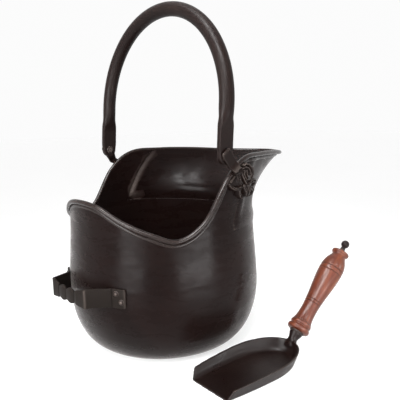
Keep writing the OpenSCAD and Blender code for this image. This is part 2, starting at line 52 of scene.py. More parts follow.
CAMERA_AT = (-0.46762, -0.59945, 0.337266)
CAMERA_AZIMUTH = 42.424   # degrees from +Y towards +X
CAMERA_PITCH = 9.357      # degrees below level
CAMERA_ROLL = -1.381
CAMERA_LENS, SENSOR_W = 44.333, 36   # millimetres


def add_camera():
    azimuth, pitch, roll = (math.radians(a) for a in (CAMERA_AZIMUTH, CAMERA_PITCH, CAMERA_ROLL))
    forward = Vector((math.sin(azimuth) * math.cos(pitch), math.cos(azimuth) * math.cos(pitch),
                      -math.sin(pitch)))
    right = Vector((math.cos(azimuth), -math.sin(azimuth), 0))
    up = right.cross(forward)
    turned_right = right * math.cos(roll) + up * math.sin(roll)
    turned_up = up * math.cos(roll) - right * math.sin(roll)
    turn = Matrix((turned_right, turned_up, -forward)).transposed().to_4x4()
    data = bpy.data.cameras.new("camera")
    data.lens = CAMERA_LENS
    data.sensor_width = SENSOR_W
    camera = bpy.data.objects.new("camera", data)
    camera.matrix_world = Matrix.Translation(CAMERA_AT) @ turn
    bpy.context.scene.collection.objects.link(camera)
    bpy.context.scene.camera = camera


add_camera()


# ---- Sizes: the frame's own, apart from those whose comment names the scene or the frame ----

BELLY_R, BELLY_Z, BELLY_BULGE = 145.7, 90, 49.5
NECK_R, NECK_Z = 139.4, 208
SHEET_T, SHELL_Z0, WALL_TOP_Z = 1.5, 1.5, 150
FLANGE_W = 13.2
RIM_HEIGHTS = np.array([229, 224, 206, 191, 181, 202, 253, 281, 284, 282, 278, 276, 276], float)
RIM_STEP = 15           # degrees between rim heights, from the back round to the lip
LIP_REACH, FLARE_Z, LIP_Z, FLARE_NARROWING = 109.6, 216, 276, 2.5
FLARE_CURVE = 1.32      # hollower than the frame's 1.2, as the throat is in the photograph
FLARE_SOFT = 0.07       # the scene's: share of the flare's height over which the sheet starts to bend
BEAD_R, BEAD_OUT = 3.5, 1.6
SEAM_COLUMN, SEAM_LEAN, SEAM_ROW, LAP_COLUMN, LEAN_END = 80, 16, 0.34, 84, 126
LAP_ROW, LAP_OUT = 0.23, 1.55
SEAM_LEVEL, LAP_LEVEL = 2 + SEAM_ROW, 2 + LAP_ROW
LAP_SIDE_SOFT, LAP_LOW_SOFT = 4, 0.09    # the scene's: columns and rows over which the lap steps out
LAP_THIN = 1.35         # the scene's: how much the sheet is hammered thinner towards its lapped edges
ARC_MM, ROW_MM = 2.5, 130    # millimetres round the wall for a column, and up it for an upper row

PIVOT = np.array([-2.5, 0, 288])
BAIL_HALF_W, BAIL_LEG, BAIL_R, BAIL_LEAN = 141, 69, 9.85, 4.3
BAIL_END_W, BAIL_END_T, PIN_R = 23, 7, 4
STRAP_OUT, STRAP_SLOPE, SIDE_GAP = 148.5, 55, 0.3

STRIP_H, STRIP_T, STRIP_Z = 26, 3, 105.8
GRIP_HALF_W, GRIP_BACK = 43.4, 167.3
GRIP_BOW = 2.4          # flatter than the frame's 3.9
ARM_ANGLE, TAB_END_ANGLE = 23.3, 31.5
ARM_ANGLE_FAR = 21      # the left-hand arm; the frame has 23.3 on both sides
RIVETS = [(26.1, 6.8), (28.9, -4.5)]    # angle from the back, height above the strip's middle

SHOVEL_AT, SHOVEL_TURN = (-78.6, -182), -3.5
PAN_FRONT_W, PAN_BACK_W, PAN_SIDE, PAN_BACK = 33.5, 38.4, 84, 64
PAN_FRONT_H, PAN_BACK_H, PAN_FLARE, PAN_T, FRONT_SLANT = 14.3, 20, 20, 2.6, 8
NECK_AHEAD, NECK_UP = 13, 22    # start of the handle's line: past the pan's back, above the floor
HANDLE_SLOPE, TANG_R, WOOD_START, WOOD_END = 43.6, 3, 10, 153
BALL_AT, BALL_R = 168.2, 6.2    # a fuller ball than the frame's, which is 5.2 at 169.5
# The scene's: distance up the handle and depth of the rings cut in the wood
SCORED_RINGS = [(25.6, 0.5), (57.5, 0.8), (61.8, 0.8), (113.5, 0.8), (120.5, 0.8)]


# ---- Small mathematics ----

def lerp(a, b, t):
    return a + (b - a) * t


def ease(t):
    c = np.clip(t, 0, 1)
    return c * c * (3 - 2 * c)


def sin_d(a):
    return np.sin(np.radians(a))


def cos_d(a):
    return np.cos(np.radians(a))


def unit(v):
    return v / np.maximum(np.linalg.norm(v, axis=-1, keepdims=True), 1e-12)


def signed_angle(a):
    return (np.asarray(a, float) + 180) % 360 - 180


def outward(angle):
    """The level way out from the bucket's axis at an angle."""
    return np.stack([cos_d(angle), sin_d(angle), 0 * angle], -1)


def shovel_place(points):
    """From the shovel's own frame, with X up its length from the front edge, into the part's frame."""
    a = math.radians(SHOVEL_TURN)
    p = np.asarray(points, float)
    return np.stack([SHOVEL_AT[0] + p[..., 0] * math.cos(a) - p[..., 1] * math.sin(a),
                     SHOVEL_AT[1] + p[..., 0] * math.sin(a) + p[..., 1] * math.cos(a), p[..., 2]], -1)


def on_handle(points):
    """From a frame whose Z runs up the shovel's handle into the part's frame."""
    p = np.asarray(points, float)
    lean = math.radians(90 - HANDLE_SLOPE)
    x = p[..., 0] * math.cos(lean) + p[..., 2] * math.sin(lean)
    z = p[..., 2] * math.cos(lean) - p[..., 0] * math.sin(lean)
    return shovel_place(np.stack([PAN_SIDE + PAN_BACK + NECK_AHEAD + x, p[..., 1], NECK_UP + z], -1))


# ---- The bucket's surface ----

def rim_z(angle):
    """The rim's height, a smooth cubic through the heights of the frame."""
    q = (180 - np.abs(signed_angle(angle))) / RIM_STEP
    last = len(RIM_HEIGHTS) - 1
    k = np.clip(np.floor(q).astype(int), 0, last - 1)
    t = q - k
    p0, p1, p2, p3 = (RIM_HEIGHTS[np.where(j < 0, -j, np.where(j > last, 2 * last - j, j))]
                      for j in (k - 1, k, k + 1, k + 2))
    return 0.5 * (2 * p1 + (p2 - p0) * t + (2 * p0 - 5 * p1 + 4 * p2 - p3) * t * t
                  + (3 * p1 - p0 - 3 * p2 + p3) * t ** 3)


def wall_r(z):
    """The bucket's radius at a height, apart from the flare."""
    below = bottom_r() + BELLY_BULGE * np.sqrt(
        np.clip(1 - ((BELLY_Z - z) / (BELLY_Z - SHELL_Z0)) ** 2, 0, 1))
    above = lerp(BELLY_R, NECK_R, ease((z - BELLY_Z) / (NECK_Z - BELLY_Z)))
    return np.where(z >= BELLY_Z, above, below)


def bottom_r():
    return BELLY_R - BELLY_BULGE


def flare(z):
    """The spout's reach at a height; the sheet bends out of the drum in a soft curve."""
    share = (z - FLARE_Z) / (LIP_Z - FLARE_Z)
    soft = np.logaddexp(0, share / FLARE_SOFT) * FLARE_SOFT
    return LIP_REACH * np.where(share < -6 * FLARE_SOFT, 0, soft) ** FLARE_CURVE


def wall_point(angle, z):
    angle, z = np.broadcast_arrays(np.asarray(angle, float), np.asarray(z, float))
    r = wall_r(z)
    reach = flare(z) * np.maximum(0, cos_d(angle)) ** FLARE_NARROWING
    return np.stack([r * cos_d(angle) + reach, r * sin_d(angle), z], -1)


def wall_normal(angle, z):
    along = wall_point(angle + 0.25, z) - wall_point(angle - 0.25, z)
    up = wall_point(angle, z + 0.5) - wall_point(angle, z - 0.5)
    return unit(np.cross(along, up))


def column_lean(column):
    """How far a column leans towards the back on its way from the seam up to the rim."""
    c = np.abs(column)
    return SEAM_LEAN * np.where(c <= SEAM_COLUMN, ease(c / SEAM_COLUMN),
                                ease((LEAN_END - c) / (LEAN_END - SEAM_COLUMN)))


def skin(column, row):
    """The bucket's outer skin: row -1..0 flange, 0..1 foot, 1..2 belly, 2..3 up to the rim."""
    column, row = np.broadcast_arrays(np.asarray(column, float), np.asarray(row, float))
    foot_r = bottom_r() + np.where(row <= 0, row * FLANGE_W, BELLY_BULGE * sin_d(90 * np.clip(row, 0, 1)))
    foot_z = lerp(SHELL_Z0, BELLY_Z, 1 - cos_d(90 * np.clip(row, 0, 1)))
    foot = np.stack([foot_r * cos_d(column), foot_r * sin_d(column), foot_z], -1)
    belly = wall_point(column, lerp(BELLY_Z, WALL_TOP_Z, np.clip(row - 1, 0, 1)))
    f = np.maximum(row - 2, 0)
    lean = np.sign(column) * column_lean(column)
    leaning = column - lean * np.maximum(0, (f - SEAM_ROW) / (1 - SEAM_ROW))
    upper = wall_point(leaning, lerp(WALL_TOP_Z, rim_z(column - lean), f))
    row3 = row[..., None]
    return np.where(row3 <= 1, foot, np.where(row3 <= 2, belly, upper))


def offset_skin(column, row, out):
    """The skin moved out along its own normal."""
    along = skin(column + 0.25, row) - skin(column - 0.25, row)
    up = skin(column, row + 0.01) - skin(column, row - 0.01)
    return skin(column, row) + np.asarray(out)[..., None] * unit(np.cross(along, up))


def column_of(angle, z):
    """The skin column that passes through a place on the upper wall."""
    side, column = np.sign(angle), np.abs(angle)
    for _ in range(12):
        lean = column_lean(column)
        f = (z - WALL_TOP_Z) / (rim_z(column - lean) - WALL_TOP_Z)
        column = np.abs(angle) + lean * np.maximum(0, (f - SEAM_ROW) / (1 - SEAM_ROW))
    return side * column


def lap_out(column, row):
    """How far the spout sheet stands out where it covers the drum's edge."""
    below = ease((SEAM_LEVEL + LAP_LOW_SOFT - row) / LAP_LOW_SOFT)
    return LAP_OUT * np.maximum(side_lap(column), below)


def side_lap(column):
    return ease((np.abs(column) - SEAM_COLUMN + LAP_SIDE_SOFT) / LAP_SIDE_SOFT)


def wall_out(angle, z):
    """How far the metal's outer face stands out of the skin at a place on the upper wall."""
    c = np.abs(column_of(angle, z))
    return np.where(c <= LAP_COLUMN, LAP_OUT * side_lap(c), 0)


# ---- Mesh tools ----

SHARP_EDGE = 35     # degrees between faces from which an edge is rounded


def make_piece(name, part, material, body, replaced=(), sharp=38):
    """A smooth-shaded mesh object from a part, (points in millimetres, faces), riding on a body."""
    points, faces = part
    mesh = bpy.data.meshes.new(name)
    mesh.from_pydata((np.asarray(points) * MM).tolist(), [], [list(map(int, f)) for f in faces])
    mesh.validate()
    shape = bmesh.new()
    shape.from_mesh(mesh)
    bmesh.ops.recalc_face_normals(shape, faces=shape.faces)
    shape.to_mesh(mesh)
    shape.free()
    mesh.shade_smooth()
    mesh.set_sharp_from_angle(angle=math.radians(sharp))
    mesh.materials.append(material)
    piece = bpy.data.objects.new(name, mesh)
    bpy.context.scene.collection.objects.link(piece)
    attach(piece, body)
    if replaced:
        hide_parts(*replaced)
    return piece


def bevel(piece, width):
    """Rounds the piece's sharp edges."""
    modifier = piece.modifiers.new("soft_edges", "BEVEL")
    modifier.width = width * MM
    modifier.segments = 2
    modifier.limit_method = "ANGLE"
    modifier.angle_limit = math.radians(SHARP_EDGE)
    modifier.harden_normals = False


def join_parts(parts):
    """Several (points, faces) lists as one."""
    points, faces, start = [], [], 0
    for part_points, part_faces in parts:
        points.append(np.asarray(part_points, float))
        faces += [[i + start for i in face] for face in part_faces]
        start += len(part_points)
    return np.concatenate(points), faces


def mirrored(part):
    points, faces = part
    return np.asarray(points) * [1, -1, 1], [list(face)[::-1] for face in faces]


def both_sides(part):
    """A right-hand part, and its mirror image for the left."""
    return ("right", part), ("left", mirrored(part))


def sheet_part(outer, inner, on):
    """A sheet with thickness: outer and inner are ni x nj points round a closed ring of columns."""
    ni, nj = outer.shape[:2]
    points = np.concatenate([outer.reshape(-1, 3), inner.reshape(-1, 3)])
    half = ni * nj
    faces = []
    for i in range(ni):
        after = (i + 1) % ni
        before = (i - 1) % ni
        for j in range(nj - 1):
            if not on[i, j]:
                continue
            a, b, c, d = i * nj + j, after * nj + j, after * nj + j + 1, i * nj + j + 1
            faces.append((a, b, c, d))
            faces.append((half + a, half + d, half + c, half + b))
            if j == 0 or not on[i, j - 1]:
                faces.append((b, a, half + a, half + b))
            if j == nj - 2 or not on[i, j + 1]:
                faces.append((d, c, half + c, half + d))
            if not on[after, j]:
                faces.append((c, b, half + b, half + c))
            if not on[before, j]:
                faces.append((a, d, half + d, half + a))
    used = sorted({k for face in faces for k in face})
    place = {k: n for n, k in enumerate(used)}
    return points[used], [[place[k] for k in face] for face in faces]


def sweep_part(rings, closed=False):
    """Joins rings of points into a tube, capped at its ends when it isn't closed."""
    rings = np.asarray(rings, float)
    n, m = rings.shape[:2]
    faces = []
    for i in range(n if closed else n - 1):
        k = (i + 1) % n
        for s in range(m):
            t = (s + 1) % m
            faces.append((i * m + s, i * m + t, k * m + t, k * m + s))
    if not closed:
        faces.append(list(range(m - 1, -1, -1)))
        faces.append([(n - 1) * m + s for s in range(m)])
    return rings.reshape(-1, 3), faces


def revolve_part(profile, sides, at):
    """Turns a closed profile of (radius, height) points; at() puts the points in place."""
    angles = np.arange(sides) * 2 * math.pi / sides
    profile = np.asarray(profile, float)
    rings = np.stack([np.outer(np.cos(angles), profile[:, 0]), np.outer(np.sin(angles), profile[:, 0]),
                      np.tile(profile[:, 1], (sides, 1))], -1)
    m = len(profile)
    faces = [(i * m + s, (i + 1) % sides * m + s, (i + 1) % sides * m + (s + 1) % m, i * m + (s + 1) % m)
             for i in range(sides) for s in range(m)]
    return at(rings.reshape(-1, 3)), faces


def smooth_noise(points, scale, seed):
    """A gentle noise from -1 to 1 at points in millimetres; scale is the size of its lumps."""
    shift = Vector((seed * 7.3, seed * 3.1, seed * 5.7))
    flat = np.asarray(points, float).reshape(-1, 3)
    values = [noise.noise(Vector(p) / scale + shift) for p in flat]
    return np.array(values).reshape(np.asarray(points).shape[:-1])


# ---- Materials ----

def feed(socket, value):
    """Links an output to a socket, or sets the socket's own value."""
    if hasattr(value, "is_linked"):
        socket.id_data.links.new(value, socket)
    elif socket.type == "RGBA" and len(value) == 3:
        socket.default_value = (*value, 1)
    else:
        socket.default_value = value


def add_node(tree, kind, output, inputs, **settings):
    """Adds a node with its settings and inputs, and returns one of its outputs."""
    node = tree.nodes.new(kind)
    for name, value in settings.items():
        setattr(node, name, value)
    for name, value in inputs.items():
        feed(node.inputs[name], value)
    return node.outputs[output]


class Nodes:
    """A material's node tree, with short calls for the nodes that are used here."""

    def __init__(self, name):
        self.material = bpy.data.materials.new(name)
        self.material.use_nodes = True
        self.tree = self.material.node_tree
        self.tree.nodes.clear()
        self.shader = self.tree.nodes.new("ShaderNodeBsdfPrincipled")
        output = self.tree.nodes.new("ShaderNodeOutputMaterial")
        feed(output.inputs["Surface"], self.shader.outputs[0])
        self.place = self.add("ShaderNodeTexCoord", "Object", {})

    def add(self, kind, output, inputs, **settings):
        return add_node(self.tree, kind, output, inputs, **settings)

    def noise(self, scale, detail=4, roughness=0.5, distortion=0.0, stretch=None):
        """Noise from 0 to 1; scale is its lumps to the metre."""
        place = self.stretched(stretch) if stretch else self.place
        return self.add("ShaderNodeTexNoise", "Fac", {"Scale": scale, "Detail": detail, "Vector": place,
                                                      "Roughness": roughness, "Distortion": distortion})

    def stretched(self, stretch, turn=(0, 0, 0)):
        inputs = {"Vector": self.place, "Scale": stretch, "Rotation": [math.radians(a) for a in turn]}
        return self.add("ShaderNodeMapping", "Vector", inputs)

    def ramp(self, value, stops):
        output = self.add("ShaderNodeValToRGB", "Color", {"Fac": value})
        elements = output.node.color_ramp.elements
        while len(elements) < len(stops):
            elements.new(0.5)
        for element, (position, colour) in zip(elements, stops):
            element.position = position
            element.color = (*colour, 1) if hasattr(colour, "__len__") else (colour, colour, colour, 1)
        return output

    def span(self, value, low, high, from_low=0.0, from_high=1.0):
        """The value carried over from one range to another, and held at its ends."""
        inputs = {"Value": value, "From Min": from_low, "From Max": from_high, "To Min": low, "To Max": high}
        return self.add("ShaderNodeMapRange", "Result", inputs)

    def mix(self, factor, a, b):
        return self.add("ShaderNodeMix", "Result", {"Factor": factor, "A": a, "B": b}, data_type="RGBA")

    def math(self, operation, a, b):
        return self.add("ShaderNodeMath", 0, {0: a, 1: b}, operation=operation)

    def dot(self, axis):
        """The distance along an axis from the part's origin, in metres."""
        return self.add("ShaderNodeVectorMath", "Value", {0: self.place, 1: axis},
                        operation="DOT_PRODUCT")

    def bump(self, height, strength, distance, under=None):
        inputs = {"Strength": strength, "Distance": distance, "Height": height}
        if under is not None:
            inputs["Normal"] = under
        return self.add("ShaderNodeBump", "Normal", inputs)

    def edges(self, low, high):
        """0 on flat metal, 1 on worn edges."""
        return self.ramp(self.add("ShaderNodeNewGeometry", "Pointiness", {}), [(low, 0.0), (high, 1.0)])

    def finish(self, colour, roughness, normal, **values):
        values = {"Base Color": colour, "Roughness": roughness, "Normal": normal, **values}
        for name, value in values.items():
            feed(self.shader.inputs[name], value)
        return self.material


WORN, WEAR = (0.16, 0.13, 0.115), 0.45    # the colour of rubbed edges, and how far they show it


def waxed_metal(name, dark, light, rough, grain_scale, grain, wave, gloss, haze):
    """Blackened metal under satin wax: mottled brown-black, gentle waves, fine grain, worn edges."""
    n = Nodes(name)
    cloud = n.noise(11, 5, 0.6, 0.6)
    speck = n.noise(140, 4, 0.65)
    colour = n.mix(n.span(speck, 0.0, 0.5, 0.35, 0.75), n.ramp(cloud, [(0.3, dark), (0.72, light)]), dark)
    colour = n.mix(n.math("MULTIPLY", n.edges(0.53, 0.62), WEAR), colour, WORN)
    smear = n.noise(15, 5, 0.6, 0.9, stretch=(1, 1, 3.6))
    roughness = n.math("ADD", n.span(smear, rough - 0.12, rough + 0.12, 0.3, 0.7),
                       n.span(speck, -0.03, 0.05, 0.3, 0.7))
    waves = n.bump(n.noise(13, 2, 0.5, 0.5, stretch=(1, 1, 2.6)), wave, 0.004)
    fine = n.bump(n.noise(grain_scale, 3, 0.6), grain, 0.0004, waves)
    return n.finish(colour, roughness, fine, IOR=1.5,
                    **{"Specular IOR Level": gloss, "Sheen Weight": haze, "Sheen Roughness": 0.35,
                       "Sheen Tint": (1.0, 0.90, 0.87)})


def brazed_metal():
    """Pale smeared braze that thins out into the black sheet; the mesh says how much covers it."""
    n = Nodes("brazed_seam")
    cover = n.add("ShaderNodeAttribute", "Fac", {}, attribute_name="cover")
    patchy = n.math("MULTIPLY", cover, n.span(n.noise(170, 4, 0.6), 0.5, 1.3, 0.3, 0.7))
    pale = n.ramp(n.noise(60, 3), [(0.3, (0.060, 0.047, 0.041)), (0.7, (0.120, 0.098, 0.088))])
    colour = n.mix(patchy, (0.0060, 0.0026, 0.0021), pale)
    fine = n.bump(n.noise(420, 3, 0.6), 0.3, 0.0004)
    return n.finish(colour, n.span(n.noise(90, 3), 0.30, 0.44), fine, IOR=1.5,
                    **{"Specular IOR Level": 0.12})


RAMP_MM, RING_SOFT = 160, 0.9    # handle length that the scored rings' ramp covers, and their softness


def turned_wood_material():
    """Stained beech: long fine streaks up the handle, warm red-brown, under varnish."""
    n = Nodes("turned_wood")
    start = on_handle([0, 0, 0]) * MM
    axis = on_handle([0, 0, 1]) - on_handle([0, 0, 0])
    stops = [(0, 0.0)]
    for ring, _ in SCORED_RINGS:
        stops += [((ring - RING_SOFT) / RAMP_MM, 0.0), (ring / RAMP_MM, 0.8),
                  ((ring + RING_SOFT) / RAMP_MM, 0.0)]
    up_handle = n.span(n.dot(axis), 0, 1, start @ axis, start @ axis + RAMP_MM * MM)
    scored = n.ramp(up_handle, stops + [(1, 0.0)])
    n.place = n.stretched((1, 1, 1), (0, HANDLE_SLOPE - 90, -SHOVEL_TURN))
    n.place = n.stretched((1, 1, 0.07))
    streak = n.noise(260, 5, 0.6, 0.25)
    band = n.noise(70, 3, 0.5, 0.5)
    pores = n.noise(900, 2, 0.5)
    colour = n.ramp(band, [(0.25, (0.040, 0.0088, 0.0042)), (0.5, (0.076, 0.0180, 0.0080)),
                           (0.75, (0.125, 0.0370, 0.0155))])
    colour = n.mix(n.span(streak, 0.0, 0.85, 0.40, 0.72), colour, (0.052, 0.012, 0.006))
    colour = n.mix(n.span(pores, 0.0, 0.6, 0.60, 0.76), colour, (0.028, 0.008, 0.005))
    colour = n.mix(scored, colour, (0.016, 0.006, 0.004))
    roughness = n.span(streak, 0.36, 0.48, 0.3, 0.7)
    normal = n.bump(streak, 0.12, 0.0004, n.bump(pores, 0.10, 0.0002))
    return n.finish(colour, roughness, normal, IOR=1.5,
                    **{"Specular IOR Level": 0.2, "Coat Weight": 0.2, "Coat Roughness": 0.2})


# Dark and light of the mottling, roughness, grain scale, grain, waves, gloss, haze at bright edges
FINISHES = {
    "black_steel": ((0.0028, 0.0012, 0.0010), (0.0058, 0.0026, 0.0022), 0.28, 620, 0.14, 0.24, 0.07, 0.12),
    "bail_iron": ((0.0050, 0.0024, 0.0020), (0.0095, 0.0052, 0.0044), 0.42, 420, 0.25, 0.10, 0.12, 0),
    "worn_rim": ((0.0070, 0.0036, 0.0030), (0.0130, 0.0080, 0.0066), 0.24, 620, 0.10, 0.12, 0.22, 0),
    "cast_iron": ((0.0044, 0.0021, 0.0017), (0.0088, 0.0045, 0.0036), 0.33, 420, 0.35, 0.12, 0.10, 0),
    "shovel_iron": ((0.0044, 0.0020, 0.0017), (0.0088, 0.0048, 0.0040), 0.35, 380, 0.40, 0.10, 0.15, 0),
    "strip_steel": ((0.0030, 0.0022, 0.0019), (0.0056, 0.0044, 0.0038), 0.40, 500, 0.20, 0.08, 0.02, 0),
}
METAL, BAR, RIM, CAST, PAN, STRIP = (waxed_metal(name, *finish) for name, finish in FINISHES.items())
BRAZE = brazed_metal()
WOOD = turned_wood_material()


# ---- The bucket: drum, spout sheet, braze and wired edge ----

WAVES = [(0.26, 46, 1), (0.14, 21, 2)]    # height, size and seed of the sheet's waves
WAVES_OUT = 0.2
FADE_LOW, FADE_HIGH = 0.5, 0.12           # rows at the foot and the rim without waves
DENTS = [(-118, 58, 16, 1.1), (-93, 66, 13, 0.9), (-80, 62, 11, 0.7), (-150, 75, 15, 0.8), (140, 60, 16, 1.0),
         (60, 70, 18, 0.9), (20, 110, 20, 0.9), (95, 95, 15, 0.8)]   # angle, height, radius, depth
COLUMN_STEP = 2.0
LAP_FLUSH = 0.02        # rows below the drum's edge over which the lapped sheet is thinnest
TINY = 0.001


def hand_made(column, row):
    """Small unevenness of hand-raised sheet about the true skin, with a few dents."""
    p = skin(column, row)
    waves = sum(height * smooth_noise(p, size, seed) for height, size, seed in WAVES) + WAVES_OUT
    fade = np.clip(row / FADE_LOW, 0, 1) * np.clip((3 - row) / FADE_HIGH, 0, 1)
    sunk = np.zeros_like(waves)
    for angle, z, radius, depth in DENTS:
        away = np.linalg.norm(p - wall_point(angle, z), axis=-1)
        sunk += depth * np.exp(-(away / radius) ** 2)
    return fade * (waves - sunk)


def skin_rows():
    """The mesh's rows: flange, foot, belly, up to the seam, and closer together towards the rim."""
    foot = np.linspace(0, 1, 27)[1:]
    belly = np.linspace(1, 2, 17)[1:]
    lower = 2 + np.linspace(0, SEAM_ROW, 13)[1:]
    upper = SEAM_LEVEL + (1 - SEAM_ROW) * np.sin(np.linspace(0, math.pi / 2, 34))[1:]
    return np.concatenate([[-1, -0.4, 0], foot, belly, lower, upper])


def add_bucket():
    columns = signed_angle(np.arange(0, 360, COLUMN_STEP))
    mids = np.abs(signed_angle(np.arange(0, 360, COLUMN_STEP) + COLUMN_STEP / 2))
    rows = skin_rows()
    grid_c, grid_r = np.meshgrid(columns, rows, indexing="ij")
    uneven = hand_made(grid_c, grid_r)
    row_low = rows[:-1][None, :]

    drum = (row_low < SEAM_LEVEL - TINY) | (mids[:, None] > SEAM_COLUMN)
    outer = offset_skin(grid_c, grid_r, uneven)
    inner = offset_skin(grid_c, grid_r, uneven - SHEET_T)
    part = sheet_part(outer, inner, np.broadcast_to(drum, (len(columns), len(rows) - 1)))
    bevel(make_piece("body_drum", part, METAL, "bucket", ["body_shell"]), 0.3)

    spout = (row_low >= LAP_LEVEL - TINY) & (mids[:, None] < LAP_COLUMN)
    out = lap_out(grid_c, grid_r) + uneven
    to_side = ease((np.abs(grid_c) - SEAM_COLUMN) / (LAP_COLUMN - SEAM_COLUMN))
    to_foot = ease((SEAM_LEVEL - LAP_FLUSH - grid_r) / (SEAM_ROW - LAP_ROW - LAP_FLUSH))
    outer = offset_skin(grid_c, grid_r, out - LAP_THIN * np.maximum(to_side, to_foot))
    inner = offset_skin(grid_c, grid_r, out - SHEET_T)
    part = sheet_part(outer, inner, spout)
    bevel(make_piece("spout", part, METAL, "bucket", ["spout_sheet"]), 0.5)


# Column and row along the braze's middle, from the rim down and round the corner of the drum's edge
BRAZE_LINE = np.array([(78, 2.985), (78.2, 2.7), (78.4, 2.53), (78, 2.47), (76.4, 2.42), (73, 2.40),
                       (66, 2.39)])
# Rings along the band, and the share of braze that shows in the middle of each
BRAZE_COVER = [(0, 8, 30, 48, 58, 66, 76, 89), (0.0, 0.10, 0.24, 0.46, 0.58, 0.34, 0.10, 0.0)]
BRAZE_HALF_W, BRAZE_HIGH, BRAZE_SKIN, BRAZE_SUNK = 9, 0.3, 0.03, 0.8
BRAZE_RINGS, BRAZE_ACROSS, BRAZE_BLUR = 90, 13, 11
RIM_ROW = 2.99


def braze_line():
    """Columns and rows evenly along the band's middle, and its direction on the sheet."""
    steps = np.hypot(np.diff(BRAZE_LINE[:, 0]) * ARC_MM, np.diff(BRAZE_LINE[:, 1]) * ROW_MM)
    at = np.linspace(0, steps.sum(), BRAZE_RINGS)
    line = np.stack([np.interp(at, np.r_[0, np.cumsum(steps)], BRAZE_LINE[:, k]) for k in (0, 1)])
    kernel = np.hanning(BRAZE_BLUR) / np.hanning(BRAZE_BLUR).sum()
    pad = BRAZE_BLUR // 2
    line[:, pad:-pad] = [np.convolve(values, kernel, "valid") for values in line]
    column, row = line
    return column, row, unit(np.stack([np.gradient(column) * ARC_MM, np.gradient(row) * ROW_MM], -1))


def add_seams():
    """The band of braze inside along the drum's edge, down both sides and round the corners."""
    column, row, way = braze_line()
    across = np.linspace(-1, 1, BRAZE_ACROSS)
    ring = np.arange(BRAZE_RINGS)
    narrowed = np.minimum(1, np.minimum(ring, ring[::-1]) / 8 + 0.2)
    parts, covers = [], []
    for side in (-1, 1):
        middle = skin(side * column, row)
        width = BRAZE_HALF_W * narrowed * (1 + 0.4 * smooth_noise(middle, 9, 5))
        columns = column[:, None] - width[:, None] * across * way[:, 1:] / ARC_MM
        rows = row[:, None] + width[:, None] * across * way[:, :1] / ROW_MM
        rows = np.minimum(rows, RIM_ROW)
        past_edge = np.maximum((columns - SEAM_COLUMN) * ARC_MM, (SEAM_LEVEL - rows) * ROW_MM)
        face = lerp(lap_out(columns, rows), 0, ease((past_edge + 1.8) / 2)) - SHEET_T
        face += hand_made(side * columns, rows)
        top = offset_skin(side * columns, rows, face - BRAZE_HIGH * (1 - across ** 2) - BRAZE_SKIN)
        under = offset_skin(side * columns, rows, face + BRAZE_SUNK)
        parts.append(sweep_part(np.concatenate([top, under[:, ::-1]], 1)))
        strength = np.interp(ring, *BRAZE_COVER) * (1 + 0.5 * smooth_noise(middle, 6, 9))
        cover = np.outer(strength, 1 - np.abs(across) ** 1.5)
        covers.append(np.concatenate([cover, 0 * cover], 1).ravel())
    seams = make_piece("brazed_seams", join_parts(parts), BRAZE, "bucket")
    cover = seams.data.attributes.new("cover", "FLOAT", "POINT")
    cover.data.foreach_set("value", np.concatenate(covers).astype(np.float32))


RIM_SIDES, BEAD_WORN = 20, 0.12
HEM_DROP, HEM_HIGH, HEM_WIDE = 6.2, 1.1, 2.3


def rim_frame(angle):
    """The wired edge's centre line with its direction, the way out and the way up."""
    def centre(a):
        return wall_point(a, rim_z(a)) + BEAD_OUT * outward(a)
    along = unit(centre(angle + 0.3) - centre(angle - 0.3))
    out = outward(angle)
    out = unit(out - (out * along).sum(-1, keepdims=True) * along)
    return centre(angle), along, out, np.cross(along, out)


def ovals(centres, out, half_out, up, half_up):
    """A ring of points round each centre."""
    turns = np.arange(RIM_SIDES) * 2 * math.pi / RIM_SIDES
    return (centres[:, None] + half_out * np.cos(turns)[None, :, None] * out[:, None]
            + half_up * np.sin(turns)[None, :, None] * up[:, None])


def add_rim():
    angles = np.arange(0, 360, 1.0)
    centre, along, out, up = rim_frame(angles)
    radius = (BEAD_R - BEAD_WORN + BEAD_WORN * smooth_noise(centre, 22, 4))[:, None, None]
    bead = ovals(centre, out, radius, up, radius)
    # The turned-in end of the sheet shows as a second, flatter line just under the wire
    normal = wall_normal(angles, rim_z(angles) - 3)
    down = unit(np.cross(normal, along))
    down = np.where(down[:, 2:] > 0, -down, down)
    below = wall_point(angles, rim_z(angles)) + down * HEM_DROP
    below += normal * wall_out(signed_angle(angles), below[:, 2])[:, None]
    hem = ovals(below, normal, HEM_HIGH, down, HEM_WIDE)
    part = join_parts([sweep_part(bead, closed=True), sweep_part(hem, closed=True)])
    make_piece("wired_edge", part, RIM, "bucket", ["rim_wire"])


# ---- The ears: strap, fold over the wired edge and cast ornament ----

ORNAMENT_ANGLE, ORNAMENT_Z = 76, 256
ORNAMENT_SPAN, ORNAMENT_FOOT, ORNAMENT_TOP = (-35, 36), -31.0, 22    # reach from its middle
ORNAMENT_CELL, ORNAMENT_ROWS = 0.6, 86
ORNAMENT_SUNK, CAST_UNEVEN = 0.4, 0.25

